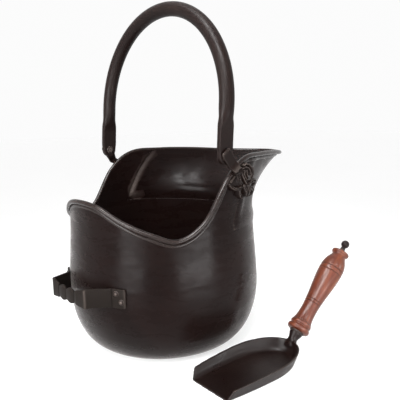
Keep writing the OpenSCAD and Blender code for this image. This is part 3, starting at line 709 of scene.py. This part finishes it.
# Strokes of the cast ornament: (along, up, half width, height) at each point, in millimetres from
# its middle, along running towards the lip
SHELL = [
    [(-9, 16.5, 2.2, 7.5), (-1.7, 18.4, 2.3, 8.5), (5.8, 17.2, 2.4, 9), (12.2, 11.4, 2.5, 9.5),
     (14.6, 3.6, 2.4, 9.5), (11.4, -4, 2.3, 9), (8, -10, 2.2, 8.5)],
    [(-8, 13, 1.9, 8.5), (-2, 14.4, 1.7, 9), (4.4, 12.6, 1.7, 9.4), (8.4, 7.6, 1.7, 9.6),
     (9, 1.6, 1.6, 9.4), (6, -4, 1.6, 9)],
    [(-8.6, 11, 1.8, 9), (-10.6, 7, 1.8, 9), (-8, 1.6, 1.8, 9.2), (-3.4, -4.6, 1.9, 9.2), (0.5, -9, 1.8, 9)],
    [(-4.6, 9.6, 1.5, 9.2), (-5.4, 5, 1.4, 9.3), (-2.6, 0.4, 1.4, 9.4), (1.4, -3.6, 1.4, 9.3)],
    [(0.2, 9.6, 1.5, 9.3), (0.4, 4.6, 1.4, 9.5), (3, 0.6, 1.4, 9.5)],
]
LEAVES = [
    [(-19, 5.6, 2.6, 6.5), (-25.4, 3, 4.6, 8), (-29.8, -1.8, 4.2, 7.5), (-31.8, -5.4, 2.2, 5)],
    [(-18.6, 5.6, 2, 8), (-16.7, -0.4, 2.5, 8.5), (-15.9, -6, 1.8, 7)],
    [(-12.6, 3, 2, 8), (-11.4, -3, 2.5, 8.5), (-9.4, -9, 2, 8)],
    [(-32, -6.4, 2, 6), (-29.1, -10.4, 2.6, 7.5), (-23.6, -13.4, 3, 8.5),
     (-16.8, -14, 3, 8.5), (-9.1, -13, 2.6, 8.5)],
    [(-9, -13, 3, 7.5), (-13, -17, 3.6, 8), (-11.2, -22.6, 3.6, 7.5), (-4, -28.4, 1.6, 4)],
    [(-3, -11, 3, 8.5), (-1.6, -15, 3.8, 9), (1.4, -20.8, 3.6, 8.5), (7, -27, 1.6, 4.5)],
    [(5, -12, 3, 8.5), (8.6, -18.6, 3.8, 9), (13.4, -24.6, 3.2, 7.5), (16, -29, 1.4, 4)],
    [(9.8, -8.6, 3, 8.5), (19, -6.6, 4.4, 9), (27.6, -8, 4.2, 9), (30.6, -12.4, 3.4, 8), (26.4, -16, 2, 6)],
    [(11, -15.6, 3, 8.5), (20.6, -17.6, 4, 9), (27, -21.6, 3.6, 8.5),
     (27.4, -26, 2.6, 7), (21.6, -28.6, 1.6, 5)],
]
GROUNDS = [
    [(-8, 10, 6.5, 6), (3, 8, 10.5, 6.5), (6, 0, 9, 6.5), (0, -8, 8, 6)],
    [(-24, -4, 8, 4.5), (-12, -6, 9, 5.5)],
    [(2, -12, 9, 6), (16, -12, 8, 6)],
    [(-14, 7, 5, 8.5), (-10.5, 8.5, 5, 8.5)],
]


def stroke_height(s, t, stroke, groove):
    """The height of one stroke over a place, and how far inside its edge the place is."""
    best_h, best_in = np.zeros_like(s), np.full_like(s, -99.0)
    for (x0, y0, w0, h0), (x1, y1, w1, h1) in zip(stroke, stroke[1:]):
        length2 = (x1 - x0) ** 2 + (y1 - y0) ** 2
        k = np.clip(((s - x0) * (x1 - x0) + (t - y0) * (y1 - y0)) / length2, 0, 1)
        away = np.hypot(s - x0 - k * (x1 - x0), t - y0 - k * (y1 - y0))
        width = w0 + k * (w1 - w0)
        q = away / width
        crown = np.sqrt(np.clip(1 - q * q, 0, 1)) * (1 - groove * np.exp(-(q / 0.22) ** 2))
        best_h = np.maximum(best_h, (h0 + k * (h1 - h0)) * crown)
        best_in = np.maximum(best_in, width - away)
    return best_h, best_in


def ornament_height(s, t):
    height, inside = np.zeros_like(s), np.full_like(s, -99.0)
    for strokes, groove in ((GROUNDS, 0.0), (SHELL, 0.0), (LEAVES, 0.3)):
        for stroke in strokes:
            h, edge = stroke_height(s, t, stroke, groove)
            height = np.maximum(height, h)
            inside = np.maximum(inside, edge)
    return height, inside


def ornament_part():
    """The ornament's relief on the right-hand wall, closed behind by the wall's own shape."""
    s = np.arange(*ORNAMENT_SPAN, ORNAMENT_CELL)
    fraction = np.linspace(0, 1, ORNAMENT_ROWS)
    angle = ORNAMENT_ANGLE - s / ARC_MM
    top = np.minimum(ORNAMENT_TOP, rim_z(angle) - BEAD_R - BEAD_OUT - ORNAMENT_Z)
    grid_s = np.repeat(s[:, None], len(fraction), 1)
    grid_t = lerp(ORNAMENT_FOOT, top[:, None], fraction[None, :])
    height, inside = ornament_height(grid_s, grid_t)
    height = np.maximum(height, 0)
    grid_a, grid_z = -(ORNAMENT_ANGLE - grid_s / ARC_MM), ORNAMENT_Z + grid_t
    normal = wall_normal(grid_a, grid_z)
    rise = wall_out(grid_a, grid_z)
    base = wall_point(grid_a, grid_z)
    uneven = CAST_UNEVEN * smooth_noise(base, 3.2, 6)
    outer = base + (rise + height * (1 + 0.04 * uneven) + uneven * (height > 0.5))[..., None] * normal
    inner = base + (rise - ORNAMENT_SUNK)[..., None] * normal
    corner_in = inside > 0
    on = corner_in[:-1, :-1] | corner_in[1:, :-1] | corner_in[:-1, 1:] | corner_in[1:, 1:]
    on = np.concatenate([on, np.zeros((1, on.shape[1]), bool)])
    points, faces = sheet_part(outer, inner, on)
    return points, [face[::-1] for face in faces]


# Distance along from the pivot, outer face, thickness and half width of the strap
STRAP_STATIONS = [
    (-8.8, 147.6, 1.6, 3.4), (-8.5, 148.2, 2.6, 5.4), (-7.2, 148.5, 3, 7), (-5, 148.5, 3, 7.9),
    (-2, 148.5, 3, 8.2), (8, 148.5, 3, 8.1), (13.6, 148.6, 3.1, 7.9), (14.8, 149, 3.3, 7.7),
    (19, 151.2, 4, 7), (23.2, 153, 4.4, 6.4), (24, 152.6, 4.6, 6.2), (24.7, 150.6, 4, 6),
    (25.8, 147.6, 3.4, 5.8), (27.4, 145, 3, 5.6), (30, 143.6, 3, 5.2), (33, 142.4, 2.6, 4.8),
]
STRAP_EDGE_R = 0.9
BOSS_R, BOSS_FACES = 7.6, (144.8, 146.5)


def strap_frame():
    """The pivot in plan and height, and the ways along, across and out of the right-hand strap."""
    slope = math.radians(STRAP_SLOPE)
    along = np.array([math.cos(slope), 0, -math.sin(slope)])
    return PIVOT * [1, 0, 1], along, np.cross([0, -1, 0], along), np.array([0, -1.0, 0])


def strap_part():
    """The strap from the pivot, folded out over the wired edge and down into the ornament."""
    at, along, across, out = strap_frame()
    rings = []
    for a, face, thick, half in STRAP_STATIONS:
        corners = []
        r = min(STRAP_EDGE_R, thick * 0.3)
        for sx, sy, start in ((-1, 1, 180), (1, 1, 90), (1, -1, 0), (-1, -1, -90)):
            for angle in np.radians([start, start - 30, start - 60, start - 90]):
                x = sx * (half - r) + r * math.cos(angle)
                y = face - thick / 2 + sy * (thick / 2 - r) + r * math.sin(angle)
                corners.append(at + a * along + x * across + y * out)
        rings.append(corners)
    return sweep_part(rings)


def boss_part():
    """The round boss between the strap and the bail's end."""
    at, along, across, out = strap_frame()
    angles = np.radians(np.arange(0, 360, 7.5))
    ring = np.cos(angles)[:, None] * along + np.sin(angles)[:, None] * across
    return sweep_part([at + BOSS_R * ring + y * out for y in BOSS_FACES])


def add_ears():
    for side, part in both_sides(join_parts([ornament_part(), strap_part(), boss_part()])):
        make_piece(f"ear_casting_{side}", part, CAST, "bucket", [f"ear_{side}"], sharp=60)


PIN_HEAD = [(0, 1.5), (3, 1.5), (4.6, 1.3), (5.6, 0.8), (6, 0)]    # radius, height above the bail's end


def add_pins():
    under_head = BAIL_HALF_W - BAIL_END_T / 2 - SIDE_GAP
    profile = [(r, under_head - high) for r, high in PIN_HEAD]
    profile += [(PIN_R, under_head), (PIN_R, STRAP_OUT - 0.4), (3.2, STRAP_OUT - 0.1), (0, STRAP_OUT)]

    def place(p):
        return np.stack([PIVOT[0] + p[:, 0], -p[:, 2], PIVOT[2] + p[:, 1]], -1)
    for side, part in both_sides(revolve_part(profile, 48, place)):
        make_piece(f"pivot_pin_{side}", part, METAL, "bucket", [f"bail_pin_{side}"])


# ---- The bail ----

BAIL_FLAT_TOP, BAIL_ROUND_FROM = 30, 66         # heights above the pivot where a leg turns round
HAMMERED_OUT, HAMMERED_OVER = 0.9, 12           # how much an end was hammered wider, and over what
BAR_THICKER = 0.65                              # than the frame's
BAIL_TURNS = np.radians(np.arange(0, 360, 10))
END_HEIGHTS = [-11.4, -11.1, -10.4, -9.2, -7.5, -5.2, -2.6]    # rings of the rounded end
SQUARE_MORE, SQUARE_FADE = 11, 4.5              # how square the flat end is, and how soon that goes
BAIL_UNEVEN = 0.006


def bail_section(height):
    """Half width, half thickness and squareness of a leg at a height above the pivot."""
    t = float(ease((height - BAIL_FLAT_TOP) / (BAIL_ROUND_FROM - BAIL_FLAT_TOP)))
    flat_w = BAIL_END_W / 2 + HAMMERED_OUT * float(ease(height / HAMMERED_OVER))
    bar_r = BAIL_R + BAR_THICKER
    half_w = lerp(flat_w, bar_r, t)
    if height < 0:
        half_w = math.sqrt(max(0.6, (BAIL_END_W / 2) ** 2 - height ** 2))
    return half_w, lerp(BAIL_END_T / 2, bar_r, t), 2 + SQUARE_MORE * (1 - t) ** SQUARE_FADE


def bail_point_frame(step, side):
    """The place a step up one leg or round the arch, the way across (X) and the way through."""
    lean = math.radians(BAIL_LEAN)
    x_axis = np.array([math.cos(lean), 0, -math.sin(lean)])
    up = np.array([math.sin(lean), 0, math.cos(lean)])
    if step <= BAIL_LEG:
        place = PIVOT + step * up + np.array([0, side * BAIL_HALF_W, 0])
        through = np.array([0, side, 0.0])
    else:
        a = (step - BAIL_LEG) / BAIL_HALF_W
        through = np.array([0, side * math.cos(a), 0]) + math.sin(a) * up
        place = PIVOT + BAIL_LEG * up + BAIL_HALF_W * through
    return place, x_axis, through


def add_bail():
    leg = list(np.linspace(0, BAIL_LEG, 31))
    arch = list(BAIL_LEG + np.linspace(0, math.pi / 2 * BAIL_HALF_W, 91)[1:])
    steps = END_HEIGHTS + leg + arch
    c, s = np.cos(BAIL_TURNS), np.sin(BAIL_TURNS)
    rings = []
    for step, side in [(step, -1) for step in steps] + [(step, 1) for step in steps[-2::-1]]:
        place, x_axis, through = bail_point_frame(step, side)
        half_w, half_t, square = bail_section(step)
        x = half_w * np.sign(c) * np.abs(c) ** (2 / square)
        y = half_t * np.sign(s) * np.abs(s) ** (2 / square)
        uneven = 1 - BAIL_UNEVEN * (1 + smooth_noise(place[None], 34, 8)[0])
        rings.append(place + uneven * (x[:, None] * x_axis + y[:, None] * through))
    make_piece("bail_bar", sweep_part(rings), BAR, "bail", ["bail"], sharp=50)


# ---- The rear handle ----

PATH_STEP, CORNER_REACH = 0.8, 1.2      # ring spacing along the strip, and how soft its bends are
STRIP_EDGE_R, TAB_CORNER_R = 0.7, 3
LOBE_W, LOBE_POWER, WIDENING = 21, 0.85, np.array([0, 3.5, 20])
ABOVE_LOW, ABOVE_HIGH, BELOW_LOW, BELOW_HIGH = 5.4, 9.8, 8.0, 11.8    # the lobes' reach
PAST_LOBES = (5.4, 9.2), (8.6, 11.2)    # the reach above and below where the strip widens again
GRIP_LIFT = 2.4         # the grip was bent a little higher on its right-hand side
LIFT_FROM, LIFT_OVER = 130, 30          # where the arms start to rise, measured backwards


def strip_half(arm_angle):
    """Half of the strip's line, from the middle of the grip to the end of one tab."""
    tab_r = BELLY_R + STRIP_T / 2
    grip = [(-GRIP_BACK - GRIP_BOW * (1 - (y / GRIP_HALF_W) ** 2), y)
            for y in np.linspace(0, GRIP_HALF_W, 30)]
    start = np.array([-tab_r * cos_d(arm_angle), tab_r * sin_d(arm_angle)])
    corner = np.array(grip[-1])
    arm = [tuple(lerp(corner, start, t)) for t in np.linspace(0, 1, 10)[1:-1]]
    tab = [(-tab_r * cos_d(a), tab_r * sin_d(a)) for a in np.linspace(arm_angle, TAB_END_ANGLE, 12)]
    return rounded_path(np.array(grip + arm + tab))


def rounded_path(path):
    """The path in even short steps, with its corners drawn in."""
    steps = np.r_[0, np.cumsum(np.linalg.norm(np.diff(path, axis=0), axis=1))]
    at = np.arange(0, steps[-1], PATH_STEP)
    even = np.stack([np.interp(at, steps, path[:, k]) for k in (0, 1)], -1)
    kernel = np.hanning(int(2 * CORNER_REACH / PATH_STEP) | 1)
    kernel /= kernel.sum()
    pad = len(kernel) // 2
    before = even[pad:0:-1] * [1, -1]
    after = 2 * even[-1] - even[-2:-pad - 2:-1]
    wide = np.concatenate([before, even, after])
    return np.stack([np.convolve(wide[:, k], kernel, "valid") for k in (0, 1)], -1)


def strip_line():
    """The strip's middle line in plan, from one tab round the grip to the other."""
    near, far = (strip_half(angle) for angle in (ARM_ANGLE, ARM_ANGLE_FAR))
    return np.concatenate([near[:0:-1] * [1, -1], far])


def grip_edge(y):
    """The strip's reach above and below its middle at a distance from the middle of the grip."""
    y = np.abs(y)
    lobe = np.abs(sin_d(180 * y / LOBE_W)) ** LOBE_POWER
    past = [np.interp(y, LOBE_W + WIDENING, (*edge, STRIP_H / 2)) for edge in PAST_LOBES]
    above = np.where(y <= LOBE_W, lerp(ABOVE_LOW, ABOVE_HIGH, lobe), past[0])
    below = np.where(y <= LOBE_W, lerp(BELOW_LOW, BELOW_HIGH, lobe), past[1])
    return above, below


def add_rear_handle():
    line = strip_line()
    along = unit(np.gradient(line, axis=0))
    out = np.stack([along[:, 1], -along[:, 0]], -1)
    out *= np.sign((out * line).sum(-1, keepdims=True))
    on_grip = (np.abs(line[:, 1]) < GRIP_HALF_W - 2) & (line[:, 0] < -BELLY_R - 8)
    above, below = (np.where(on_grip, edge, STRIP_H / 2) for edge in grip_edge(line[:, 1]))
    ring_at = np.arange(len(line))
    from_end = np.minimum(ring_at, ring_at[::-1]) * PATH_STEP
    r = TAB_CORNER_R
    corner = np.where(from_end < r, r - np.sqrt(np.clip(r * r - (r - from_end) ** 2, 0, r * r)), 0)
    lift = GRIP_LIFT * np.clip((GRIP_HALF_W - line[:, 1]) / (2 * GRIP_HALF_W), 0, 1)
    lift *= ease((-line[:, 0] - LIFT_FROM) / LIFT_OVER)
    rings = []
    for place, way, high, low, up in zip(line, out, above - corner, below - corner, lift):
        ring = []
        for sx, top, start in ((1, True, 0), (-1, True, 90), (-1, False, 180), (1, False, 270)):
            edge = high - STRIP_EDGE_R if top else STRIP_EDGE_R - low
            for a in np.radians([start, start + 45, start + 90]):
                x = sx * (STRIP_T / 2 - STRIP_EDGE_R) + STRIP_EDGE_R * math.cos(a)
                z = edge + STRIP_EDGE_R * math.sin(a)
                ring.append([place[0] + x * way[0], place[1] + x * way[1], STRIP_Z + up + z])
        rings.append(ring)
    make_piece("rear_grip_strip", sweep_part(rings), STRIP, "bucket", ["rear_handle"],
               sharp=50)


# Radius and height of the rivets' heads outside, and of their clenched ends inside the wall
RIVET_DOME = [(0, 1.75), (1.2, 1.65), (2.4, 1.3), (3.4, 0.7), (4, 0), (4, -0.5), (0, -0.5)]
RIVET_BACK = [(0, 0.3), (4, 0.3), (4, -0.7), (2.6, -1.3), (0, -1.5)]


def add_rivets():
    profiles = [[(r, face + high) for r, high in shape] for shape, face in
                ((RIVET_DOME, BELLY_R + STRIP_T), (RIVET_BACK, BELLY_R - SHEET_T))]
    parts = []
    for side in (-1, 1):
        for angle, up in RIVETS:
            a = math.radians(180 + side * angle)
            out = np.array([math.cos(a), math.sin(a), 0])
            across = np.array([-math.sin(a), math.cos(a), 0])

            def place(p, out=out, across=across, up=up):
                middle = np.array([0, 0, STRIP_Z + up])
                return middle + p[:, :1] * across + p[:, 1:2] * np.array([0, 0, 1.0]) + p[:, 2:] * out
            parts += [revolve_part(profile, 32, place) for profile in profiles]
    make_piece("handle_rivets", join_parts(parts), CAST, "bucket", ["rear_handle_rivets"])


# ---- The shovel ----

PAN_FILLET = 5.5
PAN_WALL = PAN_T * 1.06         # the flared wall's thickness, measured level
PAN_RISE_POWER = 0.7            # how early the wall rises behind the slanted front
VOXEL, WELD_REACH = 0.8, 0.05
# Middle of the section past the pan's back, half width, half height, share turned to the handle
NECK_STATIONS = [((3.2, 10.0), 15.5, 2.0, 0.0), ((3.6, 10.6), 15.5, 3.6, 0.05), ((4.6, 12.0), 13.6, 4.6, 0.2),
                 ((6.2, 14.0), 11.2, 5.3, 0.45), ((8.2, 16.3), 8.9, 5.8, 0.75), ((10.0, 18.4), 7.3, 6.2, 1.0)]
NECK_COLLAR = [(-2.6, 6.7), (-0.5, 7.2), (2, 8.1), (4.4, 9.2), (5.2, 9.6), (7.4, 9.6)]   # distance up, radius


def pan_height(u):
    """The wall's height at a distance behind the pan's front edge."""
    rise = lerp(PAN_T - 1, PAN_FRONT_H, np.maximum(0, u) / FRONT_SLANT)
    share = np.clip((u - FRONT_SLANT) / (PAN_SIDE + PAN_BACK - FRONT_SLANT), 0, 1)
    return np.where(u < FRONT_SLANT, rise, lerp(PAN_FRONT_H, PAN_BACK_H, share ** PAN_RISE_POWER))


def pan_profile(top):
    """The wall's section, from under its foot up the outside and down to the floor inside."""
    flare = math.tan(math.radians(PAN_FLARE))
    fillet = min(PAN_FILLET, max(0.05, top - PAN_T) * 0.8)
    floor = PAN_T + fillet
    profile = [(-1.6, 0), (-0.5, 0.25), (0.1, 1.1)]
    profile += [(z * flare, z) for z in np.linspace(1.6, max(1.7, top - 1.0), 6)]
    lip = top * flare
    profile += [(lip - 0.15, top - 0.35), (lip - 0.8, top), (lip - 1.9, top), (lip - 2.55, top - 0.4)]
    profile += [(z * flare - PAN_WALL, z) for z in np.linspace(max(floor, top - 1.0), floor, 4)]
    for turn in np.radians([20, 40, 60, 80]):
        rise = fillet * (1 - math.sin(turn))
        profile.append((PAN_T * flare - PAN_WALL - fillet * 0.75 * (1 - math.cos(turn)) + rise * flare,
                        PAN_T + rise))
    return profile


def pan_half():
    """Rings of the pan from its front edge round one side to the middle of its back."""
    t = np.r_[0, np.linspace(0.015, 1, 40)]
    side = np.stack([PAN_SIDE * t, lerp(PAN_FRONT_W, PAN_BACK_W, 1 - (1 - t) ** 2)], -1)
    a = np.radians(np.linspace(0, 90, 40))[1:]
    back = np.stack([PAN_SIDE + PAN_BACK * np.sin(a), PAN_BACK_W * np.cos(a)], -1)
    line = np.concatenate([side, back])
    tangent = unit(np.gradient(line, axis=0))
    tangent[-1] = (0, -1)
    out = np.stack([-tangent[:, 1], tangent[:, 0]], -1)
    rings = []
    for (x, y), (nx, ny) in zip(line, out):
        profile = pan_profile(float(pan_height(min(x, PAN_SIDE + PAN_BACK))))
        ring = [(x + o * nx, y + o * ny, z) for o, z in profile]
        middle = np.array([min(x, PAN_SIDE), 0])
        first, last = (np.array(ring[k][:2]) for k in (0, -1))
        ring += [(*lerp(last, middle, k), PAN_T) for k in np.linspace(0, 1, 12)[1:]]
        under = [(*lerp(first, middle, k), 0) for k in np.linspace(0, 1, 6)[1:]]
        rings.append(under[::-1] + ring)
    return np.array(rings, float)


def neck_part():
    """The neck from the pan's back rim up to the round collar under the grip."""
    lean = math.radians(90 - HANDLE_SLOPE)
    axis = np.array([math.sin(lean), 0, math.cos(lean)])
    origin = np.array([PAN_SIDE + PAN_BACK + NECK_AHEAD, 0, NECK_UP])
    side = np.array([0, 1.0, 0])
    back = np.array([PAN_SIDE + PAN_BACK, 0, 0])
    turns = np.radians(np.arange(0, 360, 12))
    rings = []
    up_handle = np.cross(axis, side)
    for (x, z), half_w, half_h, turned in NECK_STATIONS:
        up = unit(lerp(np.array([-0.94, 0, 0.34]), up_handle, turned))
        place = back + [x, 0, z]
        rings.append([place + half_w * math.cos(a) * side + half_h * math.sin(a) * up for a in turns])
    for z, r in NECK_COLLAR:
        rings.append([origin + z * axis + r * (math.cos(a) * side + math.sin(a) * up_handle) for a in turns])
    return sweep_part(rings)


def add_shovel_pan():
    half = pan_half()
    n, m = half.shape[:2]
    faces = [(i * m + s, i * m + s + 1, (i + 1) * m + s + 1, (i + 1) * m + s)
             for i in range(n - 1) for s in range(m - 1)]
    faces.append(list(range(m))[::-1])
    side = (half.reshape(-1, 3), faces)
    points, faces = join_parts([side, mirrored(side), neck_part()])
    pan = make_piece("scoop", (shovel_place(points), faces), PAN, "shovel", ["shovel_pan"])
    weld = pan.modifiers.new("weld", "WELD")
    weld.merge_threshold = WELD_REACH * MM
    remesh = pan.modifiers.new("cast_in_one", "REMESH")
    remesh.mode = "VOXEL"
    remesh.voxel_size = VOXEL * MM
    remesh.use_smooth_shade = True
    soften = pan.modifiers.new("soft_casting", "SMOOTH")
    soften.factor = 0.5
    soften.iterations = 4


# Distance up the handle and radius of the turned grip, with its beads
GRIP_OUTLINE = [(10, 12.6), (10.8, 14.6), (12, 15.8), (13.8, 16.4), (15.6, 16.4), (17.2, 15.7), (18.4, 14.5),
                (19.2, 14.1), (20, 14.5), (21, 15.3), (22.5, 15.5), (24.5, 15), (27, 13.9), (33, 12.5),
                (42, 11.8), (50, 11.75), (57, 12.1), (62, 12.5), (75, 13.8), (88, 15.5), (100, 16.9),
                (109, 17.6), (117, 17.9), (123, 17.7), (128, 17.1), (135, 15.2), (141, 12.4), (144.5, 11),
                (146.5, 11), (148, 12.1), (149.4, 13.1), (151, 13.4), (152.2, 12.8), (153, 11.2)]
GRIP_STEP, SCORE_HALF_W = 0.35, 0.55


def grip_profile():
    """Distances up the grip and its radius there, with the scored rings cut in."""
    z, r = np.array(GRIP_OUTLINE).T
    at = np.arange(WOOD_START, WOOD_END + 0.01, GRIP_STEP)
    # A smooth cubic through the outline keeps the swells round
    slope = np.gradient(r, z)
    k = np.clip(np.searchsorted(z, at, side="right") - 1, 0, len(z) - 2)
    h = z[k + 1] - z[k]
    t = (at - z[k]) / h
    radius = ((2 * t ** 3 - 3 * t ** 2 + 1) * r[k] + (t ** 3 - 2 * t ** 2 + t) * h * slope[k]
              + (3 * t ** 2 - 2 * t ** 3) * r[k + 1] + (t ** 3 - t ** 2) * h * slope[k + 1])
    for ring_at, depth in SCORED_RINGS:
        radius -= depth * np.exp(-((at - ring_at) / SCORE_HALF_W) ** 2)
    return at, radius


def add_grip():
    at, radius = grip_profile()
    profile = [(TANG_R, WOOD_START)] + list(zip(radius, at)) + [(TANG_R, WOOD_END)]
    make_piece("turned_grip", revolve_part(profile, 96, on_handle), WOOD, "shovel",
               ["shovel_grip"], sharp=60)


def add_handle_ends():
    ferrule = [(TANG_R, 7.5), (9.9, 7.5), (10.4, 7.9), (10.5, 8.6), (10.4, 9.6), (10, WOOD_START),
               (TANG_R, WOOD_START)]
    washer = [(TANG_R, WOOD_END), (6.2, WOOD_END), (6.5, WOOD_END + 0.4), (6.3, WOOD_END + 1.2),
              (4.6, WOOD_END + 2.6), (4, WOOD_END + 4), (TANG_R, WOOD_END + 4)]
    neck_top = BALL_AT - 4.2
    ball = [(BALL_R * math.cos(a), BALL_AT + BALL_R * math.sin(a))
            for a in np.radians(np.linspace(-54, 89.5, 30))]
    finial = [(TANG_R, WOOD_END + 4), (4, WOOD_END + 4), (3.7, WOOD_END + 6), (3.1, neck_top - 1),
              (3.06, neck_top)]
    finial += ball + [(0.02, BALL_AT + BALL_R - 0.5), (TANG_R, BALL_AT - 1), (TANG_R, BALL_AT - 3)]
    for name, profile, node in (("grip_ferrule", ferrule, "shovel_ferrule"),
                                ("end_washer", washer, "shovel_washer"),
                                ("ball_finial", finial, "shovel_finial")):
        make_piece(name, revolve_part(profile, 64, on_handle), PAN, "shovel", [node])


# ---- Frame nodes that stay: their finish ----

def dress_frame_nodes():
    for name, material in (("base_plate", METAL), ("shovel_tang", PAN)):
        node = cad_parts[name]
        node.data.materials.clear()
        node.data.materials.append(material)


# ---- Floor, light and background ----

FLOOR_HALF = 9.0            # metres
FLOOR_GLOW = 0.62           # evens the floor out with the world, so no horizon shows
WORLD_LEVEL, WORLD_TOP = 0.97, 0.60
DIMS_FROM, DIMS_TO = 0.3, 0.95    # the heights between which the world dims to its top


def add_floor():
    """One plain floor, mid-grey with an even white glow: it looks near-white and takes little shadow."""
    n = Nodes("pale_floor")
    colour = n.ramp(n.noise(3, 3), [(0.3, (0.40, 0.40, 0.40)), (0.7, (0.42, 0.42, 0.42))])
    material = n.finish(colour, n.span(n.noise(9, 2), 0.7, 0.8), n.bump(n.noise(300), 0.02, 0.0002),
                        **{"Emission Color": (1.0, 1.0, 1.0), "Emission Strength": FLOOR_GLOW,
                           "Specular IOR Level": 0.1})
    mesh = bpy.data.meshes.new("floor")
    corners = [(x * FLOOR_HALF, y * FLOOR_HALF, 0) for x, y in ((-1, -1), (1, -1), (1, 1), (-1, 1))]
    mesh.from_pydata(corners, [], [(0, 1, 2, 3)])
    mesh.materials.append(material)
    floor = bpy.data.objects.new("floor", mesh)
    bpy.context.scene.collection.objects.link(floor)


def add_light(name, azimuth, elevation, distance, size, radiance, aim=(0, 0, 0.15), spread=180):
    """A soft box over a point it aims at, in metres; azimuth is from +X, and spread narrows its beam."""
    a, e = math.radians(azimuth), math.radians(elevation)
    way = Vector((math.cos(a) * math.cos(e), math.sin(a) * math.cos(e), math.sin(e)))
    data = bpy.data.lights.new(name, "AREA")
    data.shape = "RECTANGLE"
    data.size, data.size_y = size
    half = math.radians(spread / 2)
    # Blender keeps a light's power when its spread narrows, so the power shrinks with the beam here
    gathered = 1 if spread == 180 else 1 - half / math.tan(half)
    data.energy = radiance * gathered * math.pi * size[0] * size[1]
    data.spread = 2 * half
    lamp = bpy.data.objects.new(name, data)
    lamp.location = Vector(aim) + way * distance
    lamp.rotation_mode = "QUATERNION"
    lamp.rotation_quaternion = way.to_track_quat("Z", "Y")
    lamp.visible_camera = False
    bpy.context.scene.collection.objects.link(lamp)


def add_world():
    """A plain pale studio: even walls with a dimmer ceiling."""
    world = bpy.data.worlds.new("studio")
    world.use_nodes = True
    tree = world.node_tree
    tree.nodes.clear()
    way = add_node(tree, "ShaderNodeTexCoord", "Generated", {})
    height = add_node(tree, "ShaderNodeSeparateXYZ", "Z", {0: way})
    inputs = {"Value": height, "From Min": DIMS_FROM, "From Max": DIMS_TO,
              "To Min": WORLD_LEVEL, "To Max": WORLD_TOP}
    level = add_node(tree, "ShaderNodeMapRange", "Result", inputs)
    output = tree.nodes.new("ShaderNodeOutputWorld")
    feed(output.inputs["Surface"], add_node(tree, "ShaderNodeBackground", 0, {"Color": level}))
    bpy.context.scene.world = world


add_bucket()
add_seams()
add_rim()
add_ears()
add_pins()
add_bail()
add_rear_handle()
add_rivets()
add_shovel_pan()
add_grip()
add_handle_ends()
dress_frame_nodes()
add_floor()
add_world()
add_light("overhead", 60, 80, 1.6, (1.6, 1.6), 0.4)
add_light("high_left", -143, 45, 1.2, (0.52, 0.38), 50, aim=(0.1, 0, 0.22), spread=40)
add_light("high_behind", -176, 65, 1.2, (0.52, 0.42), 52, aim=(0.1, 0, 0.22), spread=40)
add_light("left_tall", -172, 14, 0.95, (0.60, 0.40), 14, aim=(0, 0, 0.22))
add_light("left_panel", -162, 0, 0.66, (0.26, 0.16), 9.5, aim=(0, 0, 0.085))
add_light("right_panel", -95, 0, 0.62, (0.40, 0.16), 13, aim=(0, 0, 0.085))
add_light("right_window", -60, 12, 1.1, (0.50, 0.32), 22, aim=(0, -0.2, 0), spread=26)
add_light("right_high", -84, 46, 1.2, (0.40, 0.30), 26, aim=(0.02, -0.2, 0.02), spread=26)
add_light("camera_side", -124, 20, 1.3, (0.36, 0.36), 5, aim=(0, -0.1, 0.34))
bpy.context.scene.view_settings.view_transform = "Standard"
